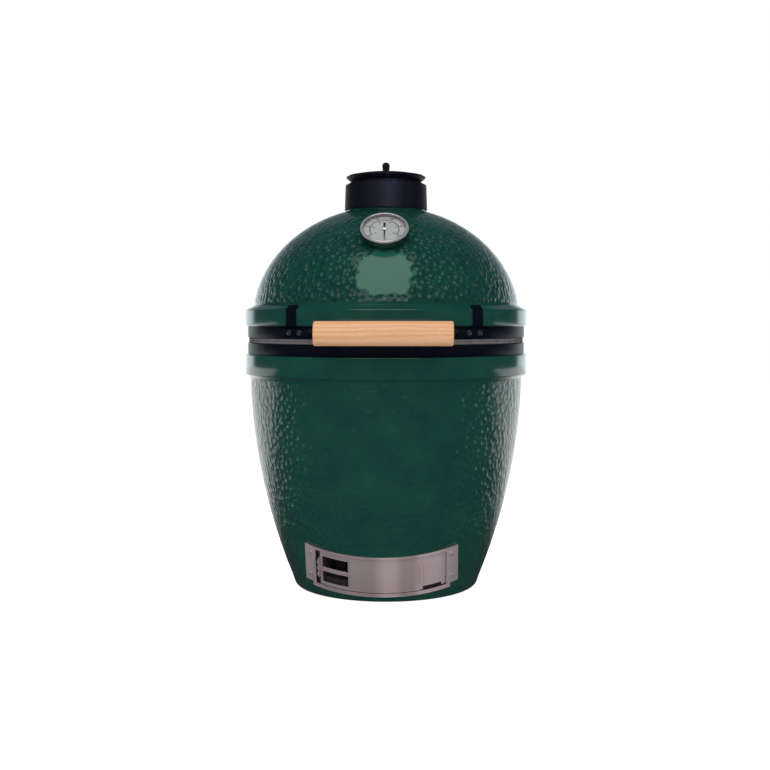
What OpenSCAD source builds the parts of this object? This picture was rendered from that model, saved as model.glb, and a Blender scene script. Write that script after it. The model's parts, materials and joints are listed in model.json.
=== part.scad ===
// Kamado ceramic grill: an egg-shaped ceramic body with a hinged dome,
// a cast chimney vent, a dial thermometer and a sliding draft door.
// Millimetres. Z is up, the front faces -Y, the origin is the centre of the foot.

/* [Ceramic body] */
// Largest radius of the body, under the base rim
body_r = 265.9; // [262:0.1:268]
// Radius of the arc that shapes the side of the base
belly_arc_r = 1107.8; // [1050:1:1200]
// Height at which the base is widest
belly_z = 435.2; // [425:1:440]
// Wall of the base and of the dome
wall_t = 27; // [24:0.5:28]
// Thickness of the base floor
floor_t = 30; // [26:1:32]
// Radius of the rounded edge of the foot
foot_round = 11; // [6:1:14]
// How far the two thick rims stand proud of the body
rim_proud = 9.1; // [7:0.1:11]
// Lower edge of the base rim
base_rim_z = 414.5; // [408:0.5:418]
// Height of the base rim
rim_h = 40; // [34:0.5:44]
// Flat top of the base, where the gasket lies
base_top_z = 476.3; // [474:0.1:480]
// How far the ceramic under the two steel bands stands proud of the body
seat_proud = 1; // [0.5:0.1:2]

/* [Dome] */
// How much narrower the dome's oval is than the body, on each side
dome_inset = 5; // [3:0.1:10]
// Half of the height of the dome's oval
dome_b = 222.6; // [215:0.1:230]
// Height of the oval's centre above the dome's lower face
dome_rise = 32; // [28:0.5:36]
// Radius of the chimney's outer foot
chimney_foot_r = 77; // [74:0.5:78]
// Radius of the chimney spigot that the collar slips over
spigot_r = 70; // [66:0.5:71]
// Height of the spigot
spigot_h = 34; // [28:1:36]
// Radius of the flue
flue_r = 52; // [46:1:54]
// Height of the chimney's shoulder above the oval's centre
shoulder_rise = 215.1; // [215:0.1:221]

/* [Gaskets and bands] */
// Thickness of each felt gasket
felt_t = 4.6; // [3:0.1:5]
// How far the felt gaskets stand proud of the ceramic that they lie on
felt_proud = 1.1; // [0:0.1:2]
// Clear gap between parts that move past each other
run_gap = 0.3; // [0.2:0.05:0.4]
// Thickness of the steel bands
band_t = 2.8; // [2:0.1:3.2]
// Height of the steel bands
band_h = 21.2; // [18:0.1:21.4]
// Half of the opening between the ends of a band, in degrees
band_open = 4; // [2:0.5:6]

/* [Fire bowl] */
// Gap between the fire box and the base at the foot
fire_gap = 8; // [6:0.5:10]
// Wall of the fire box and the fire ring
fire_wall = 21; // [18:0.5:23]
// Height of the joint between the fire box and the ring
fire_joint_z = 250; // [240:1:260]
// Top of the fire ring, where the grid lies
fire_top_z = 430; // [420:1:434]
// Height of the top of the fire box floor
fire_floor_z = 120; // [115:1:125]
// Thickness of the fire box floor
fire_floor_t = 25; // [20:1:28]
// Radius of the fire grate
grate_r = 84; // [78:1:88]
// Thickness of the fire grate
grate_t = 8; // [6:0.5:10]
// Clear gap between the cooking grid and the wall of the base
grid_gap = 10.9; // [8:0.1:14]
// Radius of the thick rods of the grid
grid_rod = 4; // [3:0.25:4.5]
// Radius of the thin bars of the grid
grid_bar = 2.5; // [2:0.25:3]
// Number of thin bars in the grid
grid_bars = 23; // [15:2:27]

/* [Handle] */
// Length of the wooden grip
grip_len = 238; // [220:1:244]
// Radius of the wooden grip
grip_r = 21.3; // [18:0.1:22]
// How far the grip's centre stands in front of the body
grip_out = 53.1; // [50:0.1:64]
// Radius of the steel rod through the grip
rod_r = 5; // [4:0.25:6]
// From each end of the grip to the middle of the arm beyond it
arm_gap = 10; // [9:0.5:14]
// Thickness of the brackets
bracket_t = 3; // [2:0.1:3.5]
// Height of the handle brackets
bracket_h = 18; // [15:0.5:19]
// Angle of each clip from the front
clip_angle = 37; // [35:0.1:38]
// Width of the clips that hook over the dome rim
clip_w = 22; // [18:0.5:24]

/* [Hinge] */
// How far the hinge pin stands behind the body
hinge_out = 50.1; // [46:0.1:59]
// Radius of the hinge pin
pin_r = 6; // [5:0.25:6.5]
// Running clearance round the pin
pin_gap = 0.05; // [0.03:0.01:0.08]
// Middle of each outer ear from the centre
outer_ear_x = 92; // [90:1:98]
// Middle of each inner ear from the centre
inner_ear_x = 80; // [76:1:82]
// Thickness of the hinge ears
ear_t = 6; // [5:0.5:8]
// Radius of the eye round the pin
eye_r = 15; // [13:0.5:17]
// Radius of the spring wire
wire_r = 2.2; // [1.8:0.1:2.5]
// Middle radius of the spring coils
coil_r = 14; // [13:0.5:15]
// Turns of each spring
coil_turns = 6; // [4:1:7]
// Length of each spring
coil_len = 52; // [45:1:56]

/* [Chimney vent] */
// Radius of the collar at its foot
collar_r = 80.6; // [79.5:0.1:82]
// Radius of the collar at its shoulder
collar_top_r = 79; // [78:0.1:80]
// Radius of the collar's neck
neck_r = 68; // [64:0.5:70]
// Height of the collar
collar_h = 55.4; // [50:0.1:58]
// Thickness of the felt round the spigot
sleeve_t = 2.6; // [2:0.1:3]
// Radius of the vent disc
disc_r = 77.5; // [74:0.5:79]
// Thickness of the vent disc
disc_t = 10.5; // [8:0.5:12]
// Distance of the disc's pivot behind the axis
pivot_y = 90; // [88:1:96]
// Radius of the daisy wheel
daisy_r = 72; // [66:0.5:74]
// Thickness of the daisy wheel in the middle
daisy_t = 7.5; // [6:0.5:9]
// Number of openings in the disc and the wheel
petals = 5; // [4:1:6]
// Radius of each opening
petal_r = 12; // [9:0.5:13]
// Radius of the circle of openings
petal_ring = 34; // [30:0.5:36]
// Radius of the knob
knob_r = 7.3; // [6:0.1:9]
// Height of the knob
knob_h = 19.5; // [16:0.5:24]

/* [Thermometer] */
// Height of the thermometer's axis on the dome, above the oval's centre
dial_rise = 153; // [140:1:160]
// Radius of the bezel
bezel_r = 43.6; // [38:0.1:46]
// Width of the bezel's rim
bezel_w = 6.5; // [5:0.25:8]
// Depth of the whole instrument
case_depth = 21; // [14:0.5:22]
// Radius of the stem
stem_r = 3; // [2.5:0.25:4]
// Length of the stem under the dome surface
stem_len = 75; // [60:1:90]

/* [Draft door] */
// Lean of the draft frame, following the side of the base
draft_lean = 17; // [15:0.5:19]
// Turn of the draft frame about the body, towards the left
draft_turn = -2.4; // [-4:0.1:0]
// How much smaller the radius of the draft frame's face is than the body's
draft_inset = 58.9; // [58:0.1:60]
// Height of the middle of the draft frame
draft_z = 55; // [54:0.5:58]
// How far the frame's face stands out from the base arc
draft_proud = 4; // [3:0.5:5]
// Height of the draft frame
draft_h = 73; // [68:1:74]
// Half of the frame's width in degrees
draft_half = 43.4; // [42.5:0.1:45]
// Half of the doors' run in degrees
door_half = 36; // [35:0.5:37]
// Thickness of the frame
frame_t = 2; // [1.5:0.1:2.5]
// Thickness of the sliding doors
door_t = 1.6; // [1.2:0.1:1.8]
// Height of the guide lip under the frame
lip_h = 8; // [6:0.5:9]

/* [Hidden] */
$fn = 96;
eps = 0.01;

// Reach of a block that cuts or keeps everything on one side
far = 2 * body_r;
// Girths that follow from the body's
rim_r = body_r + rim_proud;
band_seat_r = body_r + seat_proud;
felt_r = band_seat_r + felt_proud;
dome_a = body_r - dome_inset;
grid_r = body_r - wall_t - grid_gap - grid_rod;
grip_y = body_r + grip_out;
hinge_y = body_r + hinge_out;
draft_r = body_r - draft_inset;

// Heights that follow from the sizes above
base_rim_top = base_rim_z + rim_h;
dome_foot_z = base_top_z + 2 * felt_t + run_gap;
dome_z = dome_foot_z + dome_rise;
base_band_z = base_top_z - 0.6 - band_h;
dome_band_z = dome_foot_z + 0.6;
dome_rim_z = dome_band_z + band_h + 1;
band_out = band_seat_r + 0.1 + band_t;
seam_z = base_top_z + felt_t + run_gap / 2;
shoulder_z = dome_z + shoulder_rise;
collar_z = shoulder_z + 0.2;
disc_z = collar_z + collar_h + run_gap;
daisy_z = disc_z + disc_t + run_gap;
knob_z = daisy_z + daisy_t + 0.1;

// Side of the base: radius at height z, and the dome's oval: radius at height z
function base_radius(z) = body_r - belly_arc_r + sqrt(pow(belly_arc_r, 2) - pow(z - belly_z, 2));
function base_inside(z) = base_radius(z) - wall_t;
function dome_radius(z, t = 0) =
    (dome_a - t) * sqrt(max(0, 1 - pow((z - dome_z) / (dome_b - t), 2)));

// A ring of rectangular section
module tube(r_out, r_in, h, z = 0) {
    translate([0, 0, z]) difference() {
        cylinder(r = r_out, h = h);
        translate([0, 0, -1]) cylinder(r = r_in, h = h + 2);
    }
}

// Part of a ring between two angles; angle 0 is the front, positive to the right
module sector(r_out, r_in, z0, z1, a0, a1) {
    rotate([0, 0, a0 - 90]) rotate_extrude(angle = a1 - a0)
        translate([r_in, z0]) square([r_out - r_in, z1 - z0]);
}

// A straight rod between two points that share their y and z
module rod_x(r, x0, x1, y, z) {
    translate([x0, y, z]) rotate([0, 90, 0]) cylinder(r = r, h = x1 - x0);
}

// A round hole or pin along a radius of the body
module radial(r, r0, r1, angle, z) {
    rotate([0, 0, angle - 90]) translate([r0, 0, z]) rotate([0, 90, 0]) cylinder(r = r, h = r1 - r0);
}

// ---- Draft door: everything lies on one upright cylinder that leans forward ----
foot_front = base_radius(draft_z) + draft_proud;
draft_y = -foot_front + draft_r * cos(draft_lean);
draft_base_z = draft_z + draft_r * sin(draft_lean);
module at_draft() {
    rotate([0, 0, draft_turn]) translate([0, draft_y, draft_base_z]) rotate([draft_lean, 0, 0])
        children();
}
frame_in = draft_r - frame_t;
door_out = frame_in - run_gap;
door_in = door_out - door_t;
slide_out = door_in - run_gap;
slide_in = slide_out - door_t;
channel_r = slide_in - run_gap;
draft_top = draft_h / 2;
rail_h = 5;
window_top = draft_top - rail_h;
window_low = -draft_top - 1.5;
door_top = window_top + 2;
door_low = window_low + 0.8;
channel_half = door_half + 2.2;
port_half = 31;
port_top = 28;
port_low = -20;

// ---- Thermometer: its axis stands square to the dome ----
dial_z = dome_z + dial_rise;
dial_y = dome_radius(dial_z);
dial_lift = atan2(dial_rise / pow(dome_b, 2), dial_y / pow(dome_a, 2));
module at_dial() {
    translate([0, -dial_y, dial_z]) rotate([90 - dial_lift, 0, 0]) children();
}
seat_h = 4.6;
stem_gap = 2;

// Outline of the base: the foot, the side arc, the rim, the band's seat and the flat top
base_steps = 16;
function base_side(t) = [
    for (i = [0 : base_steps])
        let (z = foot_round + (base_rim_z - 5 - foot_round) * i / base_steps)
            [base_radius(z) - t, z]
];
foot_r = base_radius(foot_round) - foot_round;
foot_arc = [
    for (i = [0 : 5]) let (a = -90 + 16 * i)
        [foot_r + foot_round * cos(a), foot_round + foot_round * sin(a)]
];
rim_soft = 3;
module base_outline() {
    polygon(concat(
        [[0, 0]], foot_arc, base_side(0),
        [[rim_r - rim_soft, base_rim_z], [rim_r, base_rim_z + rim_soft],
         [rim_r, base_rim_top - rim_soft], [rim_r - rim_soft, base_rim_top],
         [band_seat_r, base_rim_top], [band_seat_r, base_top_z], [0, base_top_z]]
    ));
}
module base_hollow() {
    top_in = base_inside(belly_z);
    polygon(concat(
        [[0, floor_t]],
        [for (i = [0 : 12]) let (z = floor_t + (belly_z - floor_t) * i / 12) [base_inside(z), z]],
        [[top_in, base_top_z + 1], [0, base_top_z + 1]]
    ));
}

module base_shell() color("darkgreen") {
    difference() {
        union() {
            rotate_extrude() base_outline();
            // The thick pad that the draft frame is screwed to
            at_draft() sector(frame_in + 2, draft_r - 30, -draft_top - lip_h, draft_top,
                              -draft_half, draft_half);
        }
        rotate_extrude() base_hollow();
        // The bed of the frame, the channel for the two doors and the air port
        at_draft() sector(draft_r + 40, frame_in, -draft_top - lip_h - 1, draft_top + 1,
                          -draft_half - 0.4, draft_half + 0.4);
        at_draft() sector(frame_in + 1, channel_r, door_low - 1.5, door_top + 1,
                          -channel_half, channel_half);
        at_draft() sector(draft_r, draft_r - 60, port_low, port_top, -port_half, port_half);
        at_draft() screw_places(screw_r + 0.1, draft_r - 16, draft_r + 1);
        hinge_bolt_places(bolt_r + 0.1, band_seat_r - 1, band_seat_r + 1, base_band_z);
    }
}

// Outline of the dome: the flat face, the band's seat, the rim, the oval, the chimney
dome_steps = 20;
shoulder_slope = 11;
module dome_outline() {
    slope_top = dome_rim_z + rim_h - 1;
    slope_low = dome_rim_z + rim_h - 1 - shoulder_slope;
    chimney_start = dome_z + dome_b * sqrt(1 - pow(chimney_foot_r / dome_a, 2));
    polygon(concat(
        [[0, dome_foot_z], [band_seat_r, dome_foot_z], [band_seat_r, dome_rim_z],
         [rim_r - rim_soft, dome_rim_z], [rim_r, dome_rim_z + rim_soft],
         [rim_r, slope_low - 3], [rim_r - 2, slope_low]],
        [for (i = [0 : dome_steps])
            let (z = slope_top + (chimney_start - slope_top) * sin(90 * i / dome_steps))
                [dome_radius(z), z]],
        [[chimney_foot_r, shoulder_z], [spigot_r, shoulder_z],
         [spigot_r, shoulder_z + spigot_h], [0, shoulder_z + spigot_h]]
    ));
}
module dome_hollow() {
    flue_z = dome_z + (dome_b - wall_t) * sqrt(1 - pow(flue_r / (dome_a - wall_t), 2));
    foot_in = base_inside(belly_z);
    polygon(concat(
        [[0, dome_foot_z - 1], [foot_in, dome_foot_z - 1], [foot_in, dome_foot_z]],
        [for (i = [0 : dome_steps])
            let (z = dome_z + (flue_z - dome_z) * sin(90 * i / dome_steps))
                [dome_radius(z, wall_t), z]],
        [[flue_r, shoulder_z + spigot_h + 1], [0, shoulder_z + spigot_h + 1]]
    ));
}

module dome_shell() color("darkgreen") {
    difference() {
        rotate_extrude() dome_outline();
        rotate_extrude() dome_hollow();
        at_dial() translate([0, 0, -2 * wall_t]) cylinder(r = stem_r + stem_gap, h = 3 * wall_t);
        hinge_bolt_places(bolt_r + 0.1, band_seat_r - 1, band_seat_r + 1, dome_band_z);
    }
}

// ---- Felt gaskets, one on each rim ----
felt_in = base_inside(belly_z) + 1.5;
module base_gasket() color("gray") tube(felt_r, felt_in, felt_t, base_top_z);
module dome_gasket() color("gray") tube(felt_r, felt_in, felt_t, dome_foot_z - felt_t);

// ---- Steel bands, open at the back where the hinge brackets join their ends ----
bolt_r = 3;
bolt_angles = [171, 156.5];
module hinge_bolt_places(r, r0, r1, z) {
    for (side = [-1, 1]) for (a = bolt_angles) radial(r, r0, r1, side * a, z + band_h / 2);
}
module band(z) {
    difference() {
        sector(band_out, band_seat_r + 0.1, z, z + band_h, -180 + band_open, 180 - band_open);
        hinge_bolt_places(bolt_r + 0.1, band_seat_r - 1, band_out + 1, z);
    }
}
rivet_r = 3;
rivet_angles = [33.1, 38.1];
module rivet_places(r, r0, r1, side) {
    for (a = rivet_angles) radial(r, r0, r1, side * a, dome_band_z + band_h / 2);
}
module base_band() color("black") band(base_band_z);
module dome_band() color("black") difference() {
    band(dome_band_z);
    for (side = [-1, 1]) rivet_places(rivet_r + 0.1, band_seat_r - 1, band_out + 1, side);
}

// ---- Fire bowl: box, ring, grate and cooking grid ----
box_foot_r = base_inside(floor_t) - fire_gap;
box_top_r = base_inside(fire_joint_z) - fire_gap - 3;
ring_top_r = base_inside(fire_top_z) - fire_gap;
air_holes = 8;
air_hole_r = 9;
module fire_box() color("tan") {
    ash_r = box_foot_r - fire_wall;
    ash_top = fire_floor_z - fire_floor_t;
    difference() {
        rotate_extrude() polygon([
            [0, floor_t], [box_foot_r, floor_t], [box_top_r, fire_joint_z], [0, fire_joint_z]
        ]);
        rotate_extrude() polygon([
            [0, fire_floor_z], [grate_r + 20, fire_floor_z],
            [box_top_r - fire_wall, fire_joint_z + 1], [0, fire_joint_z + 1]
        ]);
        translate([0, 0, floor_t - 1]) cylinder(r = ash_r, h = ash_top - floor_t + 1);
        translate([0, 0, ash_top - 1]) cylinder(r = grate_r - 9, h = fire_floor_t + 2);
        translate([0, 0, fire_floor_z - grate_t]) cylinder(r = grate_r + 1, h = grate_t + 1);
        for (i = [0 : air_holes - 1])
            radial(air_hole_r, grate_r, rim_r, 360 * (i + 0.5) / air_holes, fire_floor_z + 40);
        // The notch that lets air in from the draft port
        rotate([0, 0, draft_turn]) translate([-68, -rim_r, floor_t - 1])
            cube([136, rim_r - ash_r / 2, 54]);
    }
}
module fire_ring() color("tan") {
    rotate_extrude() polygon([
        [box_top_r - fire_wall, fire_joint_z], [box_top_r, fire_joint_z],
        [ring_top_r, fire_top_z], [ring_top_r - fire_wall, fire_top_z]
    ]);
}
module fire_grate() color("dimgray") {
    slot_w = 9;
    pitch = 19;
    translate([0, 0, fire_floor_z - grate_t]) difference() {
        cylinder(r = grate_r, h = grate_t);
        for (i = [-3 : 3]) {
            half = sqrt(pow(grate_r - 13, 2) - pow(i * pitch, 2));
            translate([i * pitch - slot_w / 2, -half, -1]) cube([slot_w, 2 * half, grate_t + 2]);
        }
    }
}
module cooking_grid() color("silver") {
    grid_z = fire_top_z + grid_rod + 0.1;
    bar_z = grid_z + grid_rod - grid_bar;
    pitch = 2 * (grid_r - 8) / (grid_bars + 1);
    rotate_extrude() translate([grid_r, grid_z]) circle(r = grid_rod, $fn = 32);
    for (i = [1 : grid_bars]) {
        x = i * pitch - (grid_r - 8);
        half = sqrt(pow(grid_r, 2) - pow(x, 2));
        translate([x, half, bar_z]) rotate([90, 0, 0]) cylinder(r = grid_bar, h = 2 * half, $fn = 24);
    }
    for (y = [-1, 1] * grid_r * 0.38)
        rod_x(grid_rod, -sqrt(pow(grid_r, 2) - y * y), sqrt(pow(grid_r, 2) - y * y), y, grid_z);
}

// ---- Draft frame, slotted door, plain slide and screws ----
screw_r = 2.5;
screw_rows = [-22, 22];
screw_half = 39.4;
module screw_places(r, r0, r1) {
    for (side = [-1, 1]) for (h = screw_rows) radial(r, r0, r1, side * screw_half, h);
}
tab_t = 1.6;
tab_reach = 9;
tab_h = 40;
// A lug bent outwards from the edge of a door
module tab(r_in, angle) {
    rotate([0, 0, angle - 90]) translate([r_in, -tab_t / 2, -tab_h / 2 + 2])
        cube([draft_r + tab_reach - r_in, tab_t, tab_h]);
}
lip_half = door_half + 2;
module draft_frame() color("silver") at_draft() difference() {
    sector(draft_r, frame_in, -draft_top - lip_h, draft_top, -draft_half, draft_half);
    // The lip under the doors is narrower than the plate
    for (side = [-1, 1])
        sector(draft_r + 5, frame_in - 5, -draft_top - lip_h - 1, -draft_top,
               side > 0 ? lip_half : -draft_half - 1, side > 0 ? draft_half + 1 : -lip_half);
    sector(draft_r + 5, frame_in - 5, window_low, window_top, -door_half, door_half);
    screw_places(screw_r + 0.1, draft_r - 16, draft_r + 1);
}
// The front door: two slots at its left, a solid right half and a lug at each end
door_left = -33.4;
door_right = 21.2;
slot_left = -31.9;
slot_right = -15.6;
slot_h = 22;
slot_gap = 8.5;
slot_top = 22;
module draft_door() color("silver") at_draft() {
    difference() {
        sector(door_out, door_in, door_low, door_top, door_left, door_right);
        for (h = [slot_top - slot_h, slot_top - 2 * slot_h - slot_gap])
            sector(door_out + 3, door_in - 3, h, h + slot_h, slot_left, slot_right);
    }
    tab(door_in, door_left + 0.6);
    tab(door_in, door_right - 0.4);
}
// The plain slide behind it, which closes the slots
slide_left = -17;
// The finger notch in its lower edge
notch_left = 22.5;
notch_right = 33.5;
notch_h = 6.2;
slide_right = 38;
module draft_slide() color("silver") at_draft() {
    difference() {
        sector(slide_out, slide_in, door_low, door_top, slide_left, slide_right);
        sector(slide_out + 3, slide_in - 3, door_low - 1, door_low + notch_h, notch_left, notch_right);
    }
}
module draft_screws() color("silver") at_draft() {
    screw_places(screw_r, draft_r - 14, draft_r + 0.5);
    for (side = [-1, 1]) for (h = screw_rows)
        rotate([0, 0, side * screw_half - 90]) translate([draft_r, 0, h]) rotate([0, 90, 0])
            screw_head(4.6, 2.6);
}
// A low domed head on its flat underside
module screw_head(r, h) {
    intersection() {
        cylinder(r = r, h = h);
        translate([0, 0, h - 1.6 * r]) sphere(r = 1.6 * r);
    }
}

// ---- Handle: clips over the rim, brackets with arms, rod, grip and nuts ----
clip_in = band_out + 0.1;
clip_out = clip_in + bracket_t - 0.5;
bracket_in = clip_out + 0.1;
bracket_out = bracket_in + bracket_t;
handle_z = dome_band_z + band_h / 2;
clip_half = clip_w / 2 / rim_r * 180 / PI;
clip_over = rim_r + 0.4;
// Section of a clip: flat on the band, stepped out past the rim, bent in over its top
module clip_section() {
    t = clip_out - clip_in;
    low = handle_z - bracket_h / 2;
    step_z = dome_rim_z - 3;
    hook_z = dome_rim_z + rim_h - shoulder_slope - 1;
    polygon([
        [clip_in, low], [clip_out, low], [clip_out, step_z - 1], [clip_over + t, step_z + 4],
        [clip_over + t, hook_z + 2], [clip_over - 5, hook_z + 10], [clip_over - 7, hook_z + 8],
        [clip_over, hook_z], [clip_over, step_z + 5], [clip_in, step_z]
    ]);
}
clip_foot_half = 6;
module dome_clip(side) difference() {
    rotate([0, 0, side * clip_angle - 90 - clip_foot_half])
        rotate_extrude(angle = 2 * clip_foot_half) clip_section();
    for (edge = [-1, 1])
        rotate([0, 0, side * clip_angle - 90 + edge * clip_half])
            translate([clip_in - 20, edge > 0 ? 0 : -50, handle_z + bracket_h / 2 - 1])
                cube([50, 50, 2 * rim_h]);
    rivet_places(rivet_r + 0.1, band_seat_r - 1, clip_over + 9, side);
}
module dome_clip_left() color("black") dome_clip(-1);
module dome_clip_right() color("black") dome_clip(1);

arm_t = 4;
arm_x = grip_len / 2 + arm_gap;
arm_reach = 14;
bracket_half = bracket_h / 2 - 1.6;
// One bracket: a curved foot riveted to the band and an arm that holds the rod
module handle_bracket(side) {
    foot_near = asin(arm_x / bracket_out) - 1;
    foot_x = arm_x - arm_t / 4;
    arm_back = sqrt(pow(bracket_in, 2) - pow(arm_x - arm_t / 2, 2)) + 0.3;
    arm_half = bracket_half - 1;
    difference() {
        union() {
            intersection() {
                sector(bracket_out, bracket_in, handle_z - bracket_half, handle_z + bracket_half,
                       side > 0 ? foot_near - 1 : -clip_angle - clip_foot_half,
                       side > 0 ? clip_angle + clip_foot_half : 1 - foot_near);
                translate([side > 0 ? foot_x : -far, -far, 0]) cube([far - foot_x, far, 2 * far]);
            }
            translate([side * arm_x - arm_t / 2, -grip_y - arm_reach, handle_z - arm_half])
                cube([arm_t, grip_y + arm_reach - arm_back, 2 * arm_half]);
        }
        rod_x(rod_r + 0.1, side * arm_x - arm_t, side * arm_x + arm_t, -grip_y, handle_z);
        rivet_places(rivet_r + 0.1, band_seat_r - 1, bracket_out + 9, side);
    }
}
module handle_bracket_left() color("black") handle_bracket(-1);
module handle_bracket_right() color("black") handle_bracket(1);
module handle_rivets() color("dimgray") for (side = [-1, 1]) for (a = rivet_angles) {
    radial(rivet_r, band_seat_r + 0.15, bracket_out + 0.5, side * a, handle_z);
    rotate([0, 0, side * a - 90]) translate([bracket_out, 0, handle_z]) rotate([0, 90, 0])
        screw_head(5.2, 3);
}
grip_end_round = 3;
module handle_grip() color("burlywood") translate([0, -grip_y, handle_z]) rotate([0, 90, 0])
    translate([0, 0, -grip_len / 2]) rotate_extrude() polygon([
        [rod_r + 0.2, 0], [grip_r - grip_end_round, 0], [grip_r - 0.9, 0.9], [grip_r, grip_end_round],
        [grip_r, grip_len - grip_end_round], [grip_r - 0.9, grip_len - 0.9],
        [grip_r - grip_end_round, grip_len], [rod_r + 0.2, grip_len]
    ]);
nut_h = 5;
module handle_rod() color("silver")
    rod_x(rod_r, -arm_x - arm_t / 2 - nut_h - 2, arm_x + arm_t / 2 + nut_h + 2, -grip_y, handle_z);
module handle_spacers() color("black") for (side = [-1, 1])
    translate([side > 0 ? grip_len / 2 : -arm_x + arm_t / 2, -grip_y, handle_z]) rotate([0, 90, 0])
        tube(rod_r + 3.5, rod_r + 0.1, arm_x - arm_t / 2 - grip_len / 2);
module handle_nuts() color("silver") for (side = [-1, 1])
    translate([side * (arm_x + arm_t / 2 + nut_h / 2), -grip_y, handle_z]) rotate([0, 90, 0])
        difference() {
            cylinder(r = rod_r + 4.2, h = nut_h, center = true, $fn = 6);
            cylinder(r = rod_r + 0.05, h = nut_h + 2, center = true, $fn = 48);
        }

// ---- Hinge: brackets bolted to the bands, pin, bushes, sleeve and two springs ----
hinge_half = 26;
ear_band_y = 225;
// An ear: from the bracket's face to the eye round the pin
module ear(x, z0, z1, bore) {
    translate([x - ear_t / 2, 0, 0]) rotate([90, 0, 90]) difference() {
        union() {
            linear_extrude(ear_t) polygon([
                [ear_band_y, z0], [hinge_y + eye_r * 0.7, min(z0 + 12, seam_z)],
                [hinge_y + eye_r * 0.7, max(z1 - 12, seam_z)], [ear_band_y, z1]
            ]);
            translate([hinge_y, seam_z, 0]) cylinder(r = eye_r, h = ear_t);
        }
        translate([hinge_y, seam_z, -1]) cylinder(r = bore, h = ear_t + 2);
    }
}
module hinge_bracket(z, ear_x, bore, bolt_z) difference() {
    union() {
        sector(bracket_face, band_out + 0.1, z, z + band_h, 180 - hinge_half, 180 + hinge_half);
        difference() {
            for (side = [-1, 1]) ear(side * ear_x, z + 1, z + band_h - 1, bore);
            translate([0, 0, z - far]) cylinder(r = band_out + 1.2, h = 2 * far);
        }
    }
    hinge_bolt_places(bolt_r + 0.1, band_seat_r - 1, band_out + 9, bolt_z);
}
bush_wall = 3;
ear_pin_r = pin_r + 0.1;
module lower_hinge_bracket() color("black")
    hinge_bracket(base_band_z, outer_ear_x, ear_pin_r, base_band_z);
module upper_hinge_bracket() color("black")
    hinge_bracket(dome_band_z, inner_ear_x, pin_r + pin_gap + bush_wall, dome_band_z);
module hinge_bolts(z) {
    bolt_seat = bracket_face;
    hinge_bolt_places(bolt_r, band_seat_r - 0.8, bolt_seat + 0.5, z);
    for (side = [-1, 1]) for (a = bolt_angles)
        rotate([0, 0, side * a - 90]) translate([bolt_seat, 0, z + band_h / 2])
            rotate([0, 90, 0]) cylinder(r = 5.4, h = 4, $fn = 6);
}
module lower_hinge_bolts() color("silver") hinge_bolts(base_band_z);
module upper_hinge_bolts() color("silver") hinge_bolts(dome_band_z);
pin_half = outer_ear_x + ear_t / 2 + 6;
module hinge_pin() color("silver") {
    rod_x(pin_r, -pin_half, pin_half, hinge_y, seam_z);
    rod_x(pin_r + 4, -pin_half, -pin_half + 5.8, hinge_y, seam_z);
}
module hinge_pin_clip() color("silver")
    translate([outer_ear_x + ear_t / 2 + 0.2, hinge_y, seam_z]) rotate([0, 90, 0])
        tube(pin_r + 4, pin_r + 0.05, 3);
bush_flange = 2;
module hinge_bushes() color("goldenrod") for (side = [-1, 1]) {
    translate([side * inner_ear_x, hinge_y, seam_z]) rotate([0, 90, 0])
        tube(pin_r + pin_gap + bush_wall, pin_r + pin_gap, ear_t, -ear_t / 2);
    translate([side * (inner_ear_x - ear_t / 2 - bush_flange / 2), hinge_y, seam_z])
        rotate([0, 90, 0])
            tube(pin_r + bush_wall + 3, pin_r + pin_gap, bush_flange, -bush_flange / 2);
}
sleeve_half = inner_ear_x - ear_t / 2 - bush_flange - 0.3;
module hinge_sleeve() color("dimgray")
    translate([0, hinge_y, seam_z]) rotate([0, 90, 0])
        tube(pin_r + 3.5, pin_r + 0.15, 2 * sleeve_half, -sleeve_half);

// A torsion spring round the pin: a coil with a leg to each bracket, swept along a path
coil_steps = 14;
spring_in = sleeve_half - coil_len - 3;
bracket_face = clip_out + 1;
// How far a spring's leg reaches back from the pin to rest on the bracket, at x
function leg_back(x) = hinge_y - sqrt(pow(bracket_face, 2) - pow(x - wire_r, 2)) - run_gap;
spring_turns = coil_turns + 0.5;
function coil_point(t) =
    let (a = 360 * spring_turns * t)
        [spring_in + coil_len * t, coil_r * sin(a), -coil_r * cos(a)];
function spring_path() = concat(
    [[spring_in, -leg_back(spring_in), -coil_r - 1]],
    [for (i = [0 : coil_steps * spring_turns]) coil_point(i / (coil_steps * spring_turns))],
    [[spring_in + coil_len, -leg_back(spring_in + coil_len), coil_r + 1]]
);
module spring() {
    path = spring_path();
    n = len(path);
    sides = 8;
    // Each ring stands square to the path there
    rings = [
        for (i = [0 : n - 1])
            let (d = path[min(i + 1, n - 1)] - path[max(i - 1, 0)],
                 u = d / norm(d),
                 v0 = cross(u, [1, 0.02, 0.03]), v = v0 / norm(v0), w = cross(u, v))
                for (k = [0 : sides - 1])
                    path[i] + wire_r * (v * cos(360 * k / sides) + w * sin(360 * k / sides))
    ];
    sides_faces = [
        for (i = [0 : n - 2]) for (k = [0 : sides - 1])
            let (a = i * sides + k, b = i * sides + (k + 1) % sides)
                for (f = [[a, b + sides, b], [a, a + sides, b + sides]]) f
    ];
    ends = [
        [for (k = [0 : sides - 1]) k],
        [for (k = [sides - 1 : -1 : 0]) (n - 1) * sides + k]
    ];
    translate([0, hinge_y, seam_z]) polyhedron(rings, concat(sides_faces, ends), convexity = 10);
}
module hinge_spring_right() color("gainsboro") spring();
module hinge_spring_left() color("gainsboro") mirror([1, 0, 0]) spring();

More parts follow.
